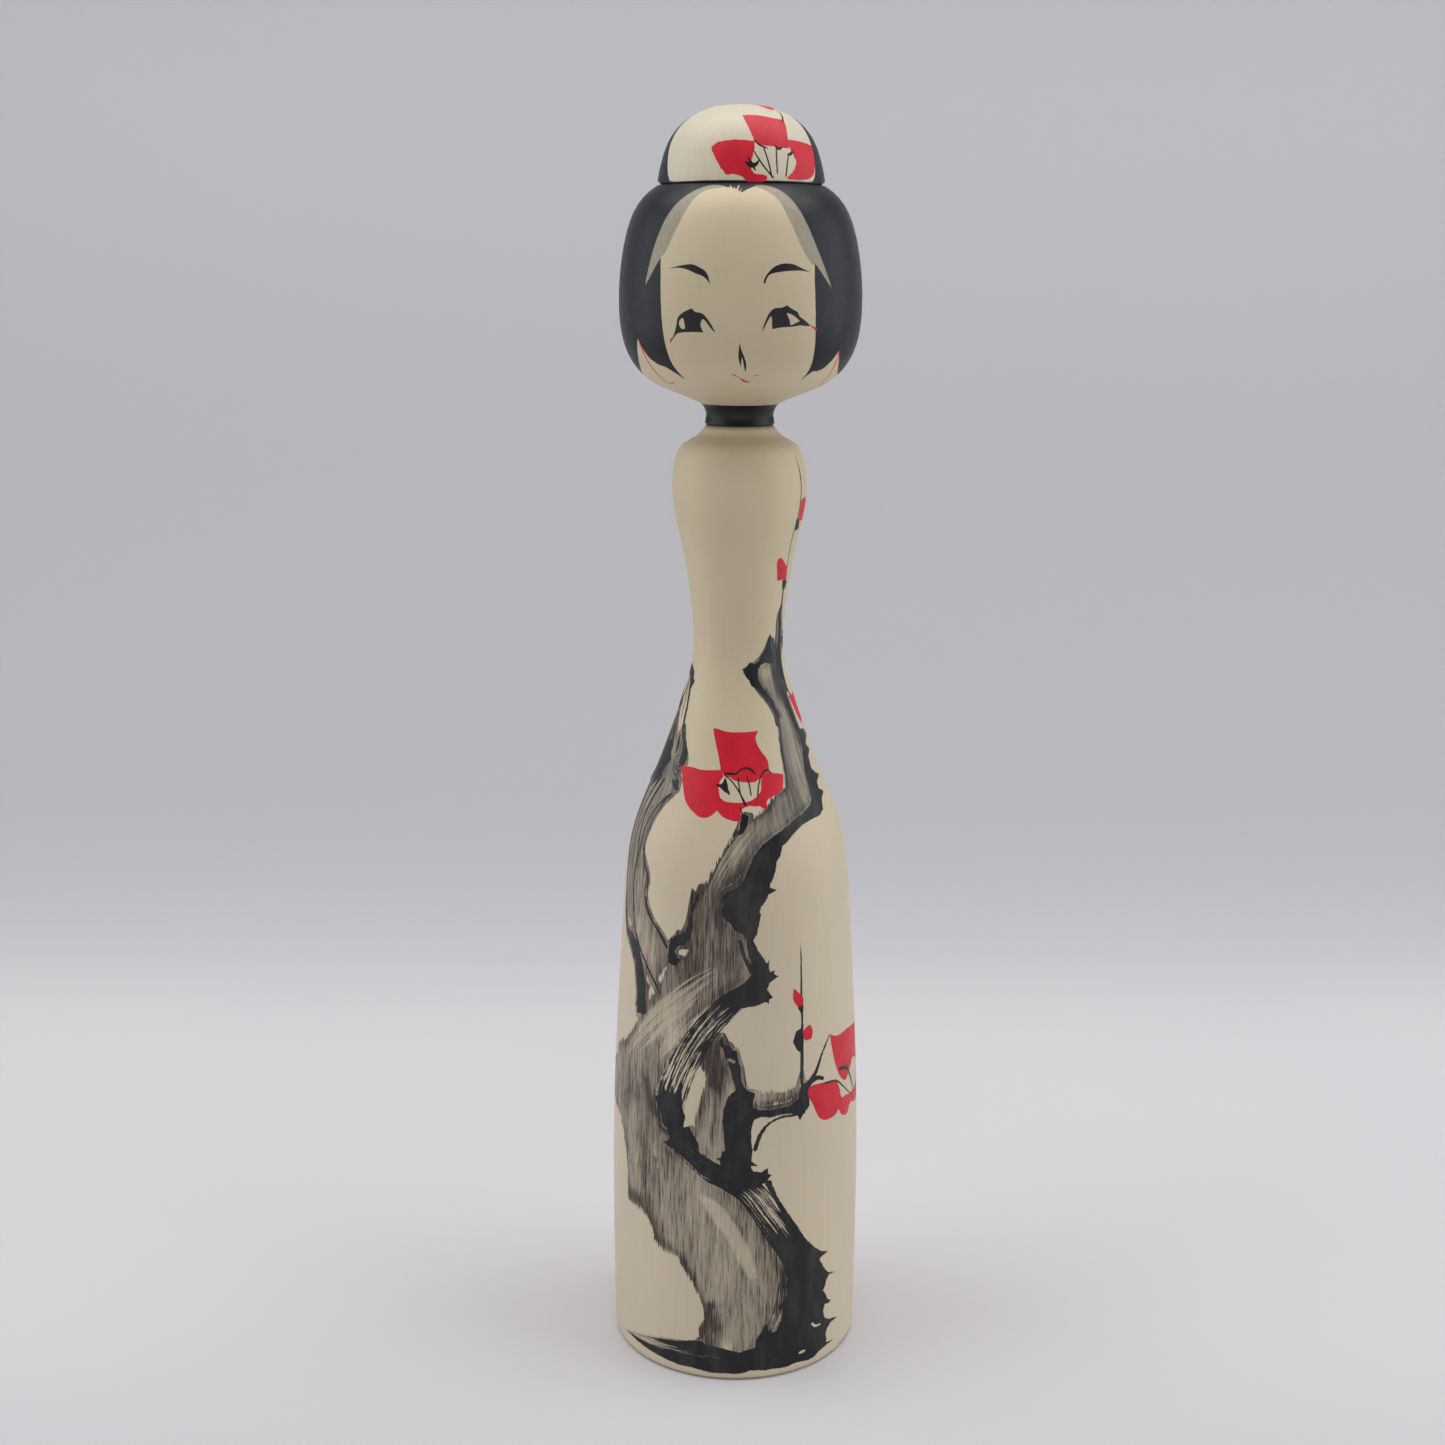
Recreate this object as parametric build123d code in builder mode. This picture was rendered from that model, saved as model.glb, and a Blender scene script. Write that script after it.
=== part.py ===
"""Kokeshi doll: a turned wooden figure of eight sun, with a head that turns on the body.

Frame: the origin is the centre of the foot, +Z runs up the lathe axis, and the face looks along -Y.
Every piece is turned on one axis, so each outline is given as (radius, height) in millimetres.
"""

from build123d import *
import math
import os

os.makedirs("parts", exist_ok=True)

# Overall sizes
sun = 30.3
doll_height = 8 * sun
foot_radius = 24.65
foot_rounding = 1.2
neck_seat_height = 185.15
neck_seat_radius = 6.54
cap_seat_height = 228.25
cap_seat_radius = 15.4

# Underside: a shallow turned dish inside a flat foot ring
dish_radius = 19.5
dish_depth = 0.8

# Neck joint: a bulbed tenon under the head, forced into an undercut socket in the body
tenon_radius = 4.5
tenon_shank = 5.0
tenon_length = 14.0
bulb_radius = 4.9
bulb_taper = 1.2
running_gap = 0.05
seat_gap = 0.1
end_gap = 1.0

# Cap joint: a glued dowel, hidden in blind holes in the head and the cap
peg_radius = 3.0
peg_glue_gap = 0.02
peg_depth_in_head = 10.0
peg_depth_in_cap = 7.0
peg_end_gap = 0.5
peg_chamfer = 0.5
cap_edge_rounding = 0.3

# Side of the body, from the top of the foot rounding, over hips, waist and shoulders, to the neck
body_side = [
    (foot_radius, foot_rounding),
    (24.8, 19.4),
    (24.45, 53.5),
    (23.2, 78.6),
    (22.1, 95.6),
    (20.85, 105.4),
    (15.85, 118.9),
    (10.7, 133.5),
    (8.75, 141.0),
    (9.1, 150.8),
    (10.8, 161.8),
    (12.75, 172.4),
    (12.4, 177.6),
    (10.8, 181.3),
    (8.2, 182.8),
    (7.1, 183.9),
    (neck_seat_radius, neck_seat_height),
]

# Waisted neck below the chin, then the head from chin to crown
neck_side = [(neck_seat_radius, neck_seat_height + seat_gap), (6.3, 186.8), (6.6, 188.0), (7.3, 188.9)]
head_side = [
    (7.3, 188.9),
    (12.45, 191.1),
    (16.95, 193.3),
    (20.3, 196.9),
    (22.55, 207.2),
    (21.9, 215.9),
    (20.65, 221.3),
    (19.3, 224.4),
    (16.85, 227.25),
    (cap_seat_radius, cap_seat_height),
]

# Side of the cap, from its lower edge over the dome to the top
cap_side = [
    (cap_seat_radius, cap_seat_height),
    (15.0, 231.0),
    (13.85, 234.9),
    (10.7, 239.3),
    (6.2, 241.75),
    (0.0, doll_height),
]

up, inwards = (0, 1), (-1, 0)


# Body: one turned block with a dished foot and an undercut neck socket
dish_sphere = (dish_radius**2 + dish_depth**2) / (2 * dish_depth)
dish_angle = math.degrees(math.asin(dish_radius / dish_sphere))
socket_floor = neck_seat_height - tenon_length - end_gap
socket_lip = neck_seat_height - tenon_shank + running_gap
chamber_radius = bulb_radius + running_gap

with BuildPart() as body:
    with BuildSketch(Plane.XZ):
        with BuildLine():
            CenterArc((0, dish_depth - dish_sphere), dish_sphere, 90 - dish_angle, dish_angle)
            Line((dish_radius, 0), (foot_radius - foot_rounding, 0))
            CenterArc((foot_radius - foot_rounding, foot_rounding), foot_rounding, -90, 90)
            Spline(*body_side, tangents=(up, inwards), tangent_scalars=(1, 0.3))
            Line((neck_seat_radius, neck_seat_height), (0, neck_seat_height))
            Line((0, neck_seat_height), (0, dish_depth))
        make_face()
    revolve(axis=Axis.Z)
    with Locations((0, 0, neck_seat_height)):
        Hole(tenon_radius + running_gap, depth=neck_seat_height - socket_floor)
    with BuildSketch(Plane.XZ):
        with BuildLine():
            Polyline(
                (0, socket_floor),
                (chamber_radius, socket_floor),
                (chamber_radius, socket_lip - bulb_taper),
                (tenon_radius + running_gap, socket_lip),
                (0, socket_lip),
                close=True,
            )
        make_face()
    revolve(axis=Axis.Z, mode=Mode.SUBTRACT)
body.part.label = "body"
export_step(body.part, "parts/body.step")


# Head: neck, head and tenon turned from one block, with a blind hole for the cap's dowel
tenon_top = neck_seat_height + seat_gap
tenon_bottom = neck_seat_height - tenon_length
bulb_top = neck_seat_height - tenon_shank

with BuildPart() as head:
    with BuildSketch(Plane.XZ):
        with BuildLine():
            Polyline(
                (0, cap_seat_height),
                (0, tenon_bottom),
                (bulb_radius - bulb_taper, tenon_bottom),
                (bulb_radius, tenon_bottom + bulb_taper),
                (bulb_radius, bulb_top - bulb_taper),
                (tenon_radius, bulb_top),
                (tenon_radius, tenon_top),
                (neck_seat_radius, tenon_top),
            )
            Spline(*neck_side)
            Spline(*head_side)
            Line((cap_seat_radius, cap_seat_height), (0, cap_seat_height))
        make_face()
    revolve(axis=Axis.Z)
    with Locations((0, 0, cap_seat_height)):
        Hole(peg_radius + peg_glue_gap, depth=peg_depth_in_head)
head.part.label = "head"
export_step(head.part, "parts/head.step")


# Hair cap: the topknot, a separately turned dome on the crown
with BuildPart() as hair_cap:
    with BuildSketch(Plane.XZ):
        with BuildLine():
            Line((0, doll_height), (0, cap_seat_height))
            Line((0, cap_seat_height), (cap_seat_radius, cap_seat_height))
            Spline(*cap_side, tangents=(up, inwards))
        make_face()
    revolve(axis=Axis.Z)
    underside = hair_cap.faces().sort_by(Axis.Z)[0]
    fillet(underside.edges(), cap_edge_rounding)
    with BuildSketch(Plane.XY.offset(cap_seat_height)):
        Circle(peg_radius + peg_glue_gap)
    extrude(amount=peg_depth_in_cap, mode=Mode.SUBTRACT)
hair_cap.part.label = "hair_cap"
export_step(hair_cap.part, "parts/hair_cap.step")


# Cap peg: the dowel that holds the cap on the head
peg_bottom = cap_seat_height - peg_depth_in_head + peg_end_gap
peg_length = peg_depth_in_head + peg_depth_in_cap - 2 * peg_end_gap

with BuildPart() as cap_peg:
    with BuildSketch(Plane.XY.offset(peg_bottom)):
        Circle(peg_radius)
    extrude(amount=peg_length)
    chamfer(cap_peg.edges().filter_by(GeomType.CIRCLE), peg_chamfer)
cap_peg.part.label = "cap_peg"
export_step(cap_peg.part, "parts/cap_peg.step")
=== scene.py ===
"""The looks of the kokeshi doll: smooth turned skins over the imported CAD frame, and the paint on them.

A mark is written as (angle, height) points: degrees round the lathe axis from the face, and
millimetres up from the foot. Each paint layer becomes a vertex attribute, the distance in
millimetres to the edge of the paint, negative inside it. The shaders cut it crisply, bleed it along
the grain and drag it into dry-brush streaks.
"""

import math
from dataclasses import dataclass

import bpy
import numpy as np
from mathutils import Matrix, Vector


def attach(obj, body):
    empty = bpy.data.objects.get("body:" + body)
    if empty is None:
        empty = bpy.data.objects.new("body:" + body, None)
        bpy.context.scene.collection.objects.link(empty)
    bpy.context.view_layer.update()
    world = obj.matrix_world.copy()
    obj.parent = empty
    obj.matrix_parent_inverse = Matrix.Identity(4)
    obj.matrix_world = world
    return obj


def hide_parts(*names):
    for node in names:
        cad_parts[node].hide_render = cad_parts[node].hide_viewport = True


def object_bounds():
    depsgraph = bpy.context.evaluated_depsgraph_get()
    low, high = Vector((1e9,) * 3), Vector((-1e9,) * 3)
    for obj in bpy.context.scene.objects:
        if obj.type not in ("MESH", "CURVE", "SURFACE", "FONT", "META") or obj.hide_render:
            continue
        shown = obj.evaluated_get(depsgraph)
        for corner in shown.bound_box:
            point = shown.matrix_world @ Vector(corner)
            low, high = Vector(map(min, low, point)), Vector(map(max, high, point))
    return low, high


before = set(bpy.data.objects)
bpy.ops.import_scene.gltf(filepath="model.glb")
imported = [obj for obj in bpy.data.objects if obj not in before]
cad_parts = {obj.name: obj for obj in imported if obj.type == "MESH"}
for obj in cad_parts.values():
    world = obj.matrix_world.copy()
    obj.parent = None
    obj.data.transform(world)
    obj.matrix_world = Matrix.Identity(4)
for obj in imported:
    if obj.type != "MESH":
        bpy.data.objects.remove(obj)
cad_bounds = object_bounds()

MM = 0.001
FAR = 4.0  # paint distances are capped at this many mm
NECK_TOP = 188.95  # the upper edge of the black neck, in mm above the foot
STRETCH = cad_bounds[1][2] / MM / 241.8  # the marks are set out on a doll 241.8 mm tall
SEAM_WIDTH = 0.001  # a vertex this near the lathe seam, in mm, lies on it
CORNER = math.radians(20)  # an outline that turns by more than this has a sharp edge there
MARK_STEP = 0.4  # spacing in mm of the points that a mark's line is drawn with
MM_PER_DEGREE = 0.35  # round the doll at a middling radius
MEAN_RADIUS = 20.0  # streaks that run straight up are laid out round this radius, in mm


# ---------------------------------------------------------------- outlines read from the frame


def seam_chain(node):
    """(radius, height) points in mm where a node's mesh crosses its lathe seam, from the lower end up."""
    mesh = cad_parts[node].data
    place = np.empty(len(mesh.vertices) * 3)
    mesh.vertices.foreach_get("co", place)
    place = place.reshape(-1, 3) / MM
    on_seam = np.nonzero((np.abs(place[:, 1]) < SEAM_WIDTH) & (place[:, 0] > -SEAM_WIDTH))[0]
    number = {}
    merged = {}
    for i in on_seam:
        spot = (abs(round(place[i, 0], 3)), round(place[i, 2], 3))
        merged[i] = number.setdefault(spot, len(number))
    joined = {k: set() for k in number.values()}
    for edge in mesh.edges:
        a, b = (merged.get(v) for v in edge.vertices)
        if a is not None and b is not None and a != b:
            joined[a].add(b)
            joined[b].add(a)
    spots = list(number)
    at = min((k for k in joined if len(joined[k]) == 1), key=lambda k: spots[k][1])
    chain, seen = [spots[at]], {at}
    while joined[at] - seen:
        at = min(joined[at] - seen)
        seen.add(at)
        chain.append(spots[at])
    if chain[0][0] > 0:
        chain.insert(0, (0.0, chain[0][1]))
    if chain[-1][0] > 0:
        chain.append((0.0, chain[-1][1]))
    return np.array(chain)


def curve(t, start, leaving, end, arriving):
    """The cubic between two points that leaves and arrives along the given ways."""
    first = (2 * t**3 - 3 * t**2 + 1) * start + (t**3 - 2 * t**2 + t) * leaving
    return first + ((3 * t**2 - 2 * t**3) * end + (t**3 - t**2) * arriving)


def curve_slope(t, start, leaving, end, arriving):
    ways = (3 * t**2 - 4 * t + 1) * leaving + (3 * t**2 - 2 * t) * arriving
    return (6 * t**2 - 6 * t) * (start - end) + ways


class Outline:
    """A turned outline as smooth curves between its sharp edges, looked up by the distance run along it."""

    STEP = 0.1  # mm between the looked-up points
    UNEVEN = 6  # beside a run this many times shorter, a long run is a straight one

    def __init__(self, node):
        points = seam_chain(node)
        runs = np.diff(points, axis=0)
        lengths = np.hypot(*runs.T)
        ways = runs / lengths[:, None]
        sharp = np.arccos(np.clip((ways[1:] * ways[:-1]).sum(1), -1, 1)) > CORNER
        leaving, arriving = self._ways(lengths, ways, sharp)
        spots, normals, s = [], [], []
        self.edges = [0.0]
        done = 0.0
        for i, length in enumerate(lengths):
            t = np.linspace(0, 1, max(3, math.ceil(length / self.STEP) + 1))[:, None]
            ends = points[i], leaving[i] * length, points[i + 1], arriving[i] * length
            slope = curve_slope(t, *ends)
            slope /= np.hypot(*slope.T)[:, None]
            spots.append(curve(t, *ends))
            normals.append(np.stack([slope[:, 1], -slope[:, 0]], 1))
            s.append(done + length * t[:, 0])
            done += length
            if i < len(sharp) and sharp[i]:
                self.edges.append(done)
        self.edges.append(done)
        self.s = np.concatenate(s)
        self.spots = np.concatenate(spots)
        self.normals = np.concatenate(normals)
        self._find_side()

    def _ways(self, lengths, ways, sharp):
        """The way each run of the outline leaves its first point and arrives at its last."""
        leaving, arriving = [ways[0]], []
        for i in range(1, len(ways)):
            short, long_ = sorted((lengths[i - 1], lengths[i]))
            if sharp[i - 1]:
                back, ahead = ways[i - 1], ways[i]
            elif long_ > self.UNEVEN * short:
                back = ahead = ways[i - 1] if lengths[i - 1] > lengths[i] else ways[i]
            else:
                mean = ways[i - 1] * lengths[i] + ways[i] * lengths[i - 1]
                back = ahead = mean / np.hypot(*mean)
            arriving.append(back)
            leaving.append(ahead)
        arriving.append(ways[-1])
        return leaving, arriving

    def _find_side(self):
        """The side is the longest stretch that climbs all the way: the part of the outline that shows."""
        rise = np.diff(self.spots[:, 1])
        tiny = 1e-9
        ledge = (np.abs(rise) < tiny) & (np.diff(self.s) > tiny)
        climbs = (rise > -tiny) & ~ledge
        best, start = (0, 0), None
        for i, up in enumerate(np.append(climbs, False)):
            if up and start is None:
                start = i
            if not up and start is not None:
                best = max(best, (start, i), key=self._climb)
                start = None
        self.side = self.spots[best[0] : best[1] + 1]
        self.side_s = self.s[best[0]], self.s[best[1]]

    def _climb(self, stretch):
        return self.spots[stretch[1], 1] - self.spots[stretch[0], 1]

    def at(self, s):
        return np.stack([np.interp(s, self.s, self.spots[:, k]) for k in (0, 1)], -1)

    def normal(self, s):
        return np.stack([np.interp(s, self.s, self.normals[:, k]) for k in (0, 1)], -1)

    def radius(self, height):
        return np.interp(height, self.side[:, 1], self.side[:, 0])


def wrap(radius, angle, height):
    """Points in space for radii, for angles in degrees round from the face, and for heights."""
    turn = np.radians(angle)
    return np.stack([radius * np.sin(turn), -radius * np.cos(turn), height + 0 * turn], -1)


# ---------------------------------------------------------------- brush marks


def flow(points, closed=False):
    """A smooth line through (angle, height, ...) points. True at a point's end makes it a sharp corner."""
    rows = [tuple(p) + (False,) if p[-1] is not True else tuple(p) for p in points]
    spots = np.array([row[:-1] for row in rows], float)
    sharp = [row[-1] for row in rows]
    count = len(spots)
    pieces = []
    for i in range(count if closed else count - 1):
        last = (i + 1) % count
        a, b = spots[i], spots[last]
        before = spots[i - 1] if (closed or i) and not sharp[i] else a
        after = spots[(i + 2) % count] if (closed or i + 2 < count) and not sharp[last] else b
        across, up = (b - a)[:2]
        steps = max(2, math.ceil(np.hypot(across * MM_PER_DEGREE, up) / MARK_STEP))
        t = (np.arange(steps) / steps)[:, None]
        pieces.append(curve(t, a, (b - before) / 2, b, (after - a) / 2))
    if not closed:
        pieces.append(spots[-1:])
    return np.concatenate(pieces)


class Canvas:
    """Points on a turned surface, and how far each lies from a painted mark's edge, negative inside it."""

    BLOCK = 2000  # points are measured this many at a time, to save memory
    THINNEST = 0.2  # the smallest half width in mm that a dry stroke's hairs are spread over

    def __init__(self, outline, angle, s):
        self.outline = outline
        self.angle = angle
        self.height = outline.at(s)[:, 1] / STRETCH
        self.points = wrap(outline.at(s)[:, 0], angle, self.height)
        low, high = outline.side_s
        self.shows = (s >= low - 1e-6) & (s <= high + 1e-6)

    def blank(self):
        return np.full(len(self.angle), FAR)

    def _near(self, line, reach):
        """The visible points round a line, the line in space, and the points' angles turned towards it."""
        spots = wrap(self.outline.radius(line[:, 1] * STRETCH), line[:, 0], line[:, 1])
        low, high = spots.min(0) - reach, spots.max(0) + reach
        inside = ((self.points > low) & (self.points < high)).all(1) & self.shows
        index = np.nonzero(inside)[0]
        middle = (line[:, 0].min() + line[:, 0].max()) / 2
        angle = (self.angle[index] - middle + 180) % 360 - 180 + middle
        return index, spots, angle

    def _to_line(self, index, spots, grain=1.0):
        """Distance from points to a line in space, the nearest segment, and how far along that it is."""
        squash = np.array([1, 1, grain])
        a, b = spots[:-1] * squash, spots[1:] * squash
        way = b - a
        square = np.maximum((way**2).sum(1), 1e-9)
        gap, where, part = np.empty(len(index)), np.empty(len(index), int), np.empty(len(index))
        for first in range(0, len(index), self.BLOCK):
            block = slice(first, first + self.BLOCK)
            p = self.points[index[block]][:, None] * squash
            t = np.clip(((p - a) * way).sum(2) / square, 0, 1)
            d = ((p - a - t[..., None] * way) ** 2).sum(2)
            k = d.argmin(1)
            rows = np.arange(len(k))
            gap[block], where[block], part[block] = np.sqrt(d[rows, k]), k, t[rows, k]
        return gap, where, part

    def stroke(self, points, width=None):
        """A brush line through (angle, height, width) points, or (angle, height) points of one width."""
        if width is not None:
            points = [p[:2] + (width,) + tuple(p[2:]) for p in points]
        return self.drag(points)[0]

    def drag(self, points):
        """As stroke, and the distances across and along it that its streaks follow."""
        line = flow(points)
        far, across, along = self.blank(), np.zeros(len(self.angle)), np.zeros(len(self.angle))
        index, spots, angle = self._near(line, line[:, 2].max() / 2 + FAR)
        if len(index) == 0:
            return far, across, along
        gap, where, part = self._to_line(index, spots)
        half = (line[where, 2] * (1 - part) + line[where + 1, 2] * part) / 2
        far[index] = np.minimum(gap - half, FAR)
        way = line[where + 1, :2] - line[where, :2]
        off = np.stack([angle - line[where, 0], self.height[index] - line[where, 1]], 1)
        side = np.sign(way[:, 0] * off[:, 1] - way[:, 1] * off[:, 0])
        runs = np.append(0, np.cumsum(np.linalg.norm(np.diff(spots, axis=0), axis=1)))
        across[index] = gap * side / np.maximum(half, self.THINNEST)
        along[index] = runs[where] * (1 - part) + runs[where + 1] * part
        return far, across, along

    def patch(self, points, rest=(), smooth=True, grain=1.0):
        """A filled shape. rest closes it round the back of the surface, where it has no painted edge.

        A grain below 1 makes heights count for less, so that the shader bleeds further up and down.
        """
        closed = not len(rest)
        line = flow(points, closed) if smooth else np.array([p[:2] for p in points], float)
        ring = np.concatenate([line, line[:1]]) if closed else line
        area = line if closed else np.concatenate([line, np.array(rest, float)])
        far = self.blank()
        index, spots, angle = self._near(ring, FAR)
        if not closed:
            index, angle = np.nonzero(self.shows)[0], self.angle[self.shows]
        if len(index) == 0:
            return far
        gap = self._to_line(index, spots, grain)[0]
        height = self.height[index]
        inside = np.zeros(len(index), bool)
        for (x0, y0), (x1, y1) in zip(area, np.roll(area, -1, 0)):
            if y0 != y1:
                crosses = (y0 > height) != (y1 > height)
                inside ^= crosses & (angle < x0 + (height - y0) / (y1 - y0) * (x1 - x0))
        far[index] = np.clip(np.where(inside, -gap, gap), -FAR, FAR)
        return far

    def jagged(self, points):
        """A filled shape with straight sides, for thorns and torn edges."""
        return self.patch(points, smooth=False)

    def patches(self, *shapes):
        return union(*(self.patch(shape) for shape in shapes))

    def strokes(self, *lines):
        return union(*(self.stroke(line) for line in lines))

    def soft(self, points, width, amount):
        """A soft-edged change of tone along a line."""
        gap = self.stroke(points, width)
        t = np.clip(0.5 - gap / width, 0, 1)
        return amount * t * t * (3 - 2 * t)


def union(*marks):
    return np.minimum.reduce(marks)


def without(mark, *holes):
    return np.maximum.reduce([mark, *(-hole for hole in holes)])


# ---------------------------------------------------------------- the body's painting


def wash_gaps(canvas):
    """Wood left bare inside the wash."""
    return canvas.patches(
        [(-62, 87.4), (-66, 89.6), (-69, 91.6), (-69.5, 90.4), (-66, 88)],
        [(-48.5, 76.5), (-46, 80), (-47, 83), (-49.5, 80)],
        [(-60.5, 104), (-62.5, 103.5), (-61.5, 101.2), (-59.8, 102.5)],
        [(-31, 86.4), (-28.5, 88), (-24.8, 88.2), (-24.3, 87), (-27.5, 86.2)],
        [(2, 90), (4, 86), (6.8, 83.9), (5.5, 86.5)],
        [(-47.4, 120.8), (-51, 122.6), (-52.6, 121.4), (-49.6, 119.6)],
    )


def body_wash(canvas):
    """Thin grey ink of trunk and branches, laid wet along the grain."""
    bleed = 0.45
    trunk = canvas.patch([
        (-7, 100), (-6, 97, True), (-8, 95), (-3, 93.5), (1, 90.8, True), (5, 87), (7, 83.8, True), (3, 82),
        (-4, 80.5), (-12, 77.5), (-20, 74), (-28, 68.5), (-34, 63.5), (-38, 59.5), (-40, 56.5), (-36, 54.3),
        (-31.5, 52), (-31, 49.5), (-33, 48, True), (-24, 46), (-14, 43), (-7, 40.8), (0, 40), (5, 37.5),
        (10, 34), (15, 30), (19, 26.5), (21.5, 22.5), (21.5, 17), (19, 14), (14, 11), (10, 7.4, True),
        (6, 6.2), (2, 5.8), (-3, 5.4), (-6, 3.9), (-13, 3.7), (-15.5, 5, True), (-15.5, 8.5), (-16, 10.5),
        (-13.5, 13), (-14.5, 16), (-18, 19.3), (-22, 22.3), (-27, 25.2), (-33, 25.8), (-39, 27.2, True),
        (-40, 29), (-45, 32), (-51, 32.6), (-58.5, 33.2, True), (-59, 37), (-60.5, 42), (-63, 46),
        (-68, 49), (-76, 50.2), (-85, 52), (-91, 55.5), (-86, 59), (-77, 60.5), (-76, 63.4, True),
        (-66, 65.5), (-59, 68), (-52, 72.5), (-46, 76.5), (-40, 79, True), (-37, 82), (-34, 85), (-32, 88),
        (-26, 91), (-23, 95.5), (-18, 99.5), (-12, 103.5), (-6, 107.8), (0, 110.5), (5, 112.6), (14, 113.7),
        (20, 115.4), (27, 117), (34, 118), (35.5, 121), (36, 124), (38, 128), (39.5, 131, True), (33, 134),
        (25, 136.5), (24, 139.7, True), (34, 140.5), (44, 143), (52, 143.6), (58, 148), (64, 148.6, True),
        (67, 145), (64, 137), (61, 134), (65, 129), (64, 125), (59, 121), (56, 117), (50, 113.8), (38, 112),
        (26, 110), (14, 108), (5, 104), (-1, 101),
    ], grain=bleed)
    left_branch = canvas.patch([
        (-50, 124.6, True), (-55, 126.4), (-61, 126), (-66, 126.8), (-74, 128, True), (-82, 125),
        (-82.5, 120), (-83, 114), (-82, 109), (-79.5, 104), (-77.5, 99), (-75.5, 94.5), (-74.5, 91),
        (-71.5, 88), (-67, 86), (-61, 84.2), (-57, 80.5), (-55, 76), (-54, 72.2, True), (-48.4, 72.8),
        (-47.8, 76), (-45, 79), (-42, 80, True), (-37, 83), (-35.3, 87.4, True), (-38.6, 89), (-43.4, 90.6),
        (-47, 92.2), (-50.4, 94.4), (-52, 97.4), (-51.4, 99.6), (-54, 101.6), (-58.8, 103.2), (-59.4, 106),
        (-58.4, 108.6), (-56, 111.6), (-52, 114), (-47, 115.8), (-43.5, 117.4), (-42.4, 121.5, True),
        (-49, 123.6), (-54, 125.4),
    ], grain=bleed)
    inner = canvas.patch([
        (-9, 71.5, True), (-4, 70.5), (1, 67), (4, 62), (2, 55), (-3, 49), (-8, 46.6), (-14, 48),
        (-18, 50.5), (-18.5, 54), (-16, 59), (-13, 63), (-17, 66), (-14, 69.3),
    ], grain=bleed)
    behind = canvas.patch([
        (62, 147, True), (72, 146), (86, 145.4), (100, 146.5), (118, 150), (132, 155), (136, 157.5, True),
        (126, 152.5), (112, 147), (98, 143.6), (84, 142.8), (70, 142.8), (62, 142.5, True),
    ], grain=bleed)
    fringe = canvas.patch([
        (8, 60, True), (14, 60.3), (21, 60), (27, 60.3), (32, 61, True), (33, 59), (26, 58), (14, 57.6),
        (8, 57.8, True),
    ], grain=bleed)
    return without(union(trunk, left_branch, inner, behind, fringe), wash_gaps(canvas))


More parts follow.
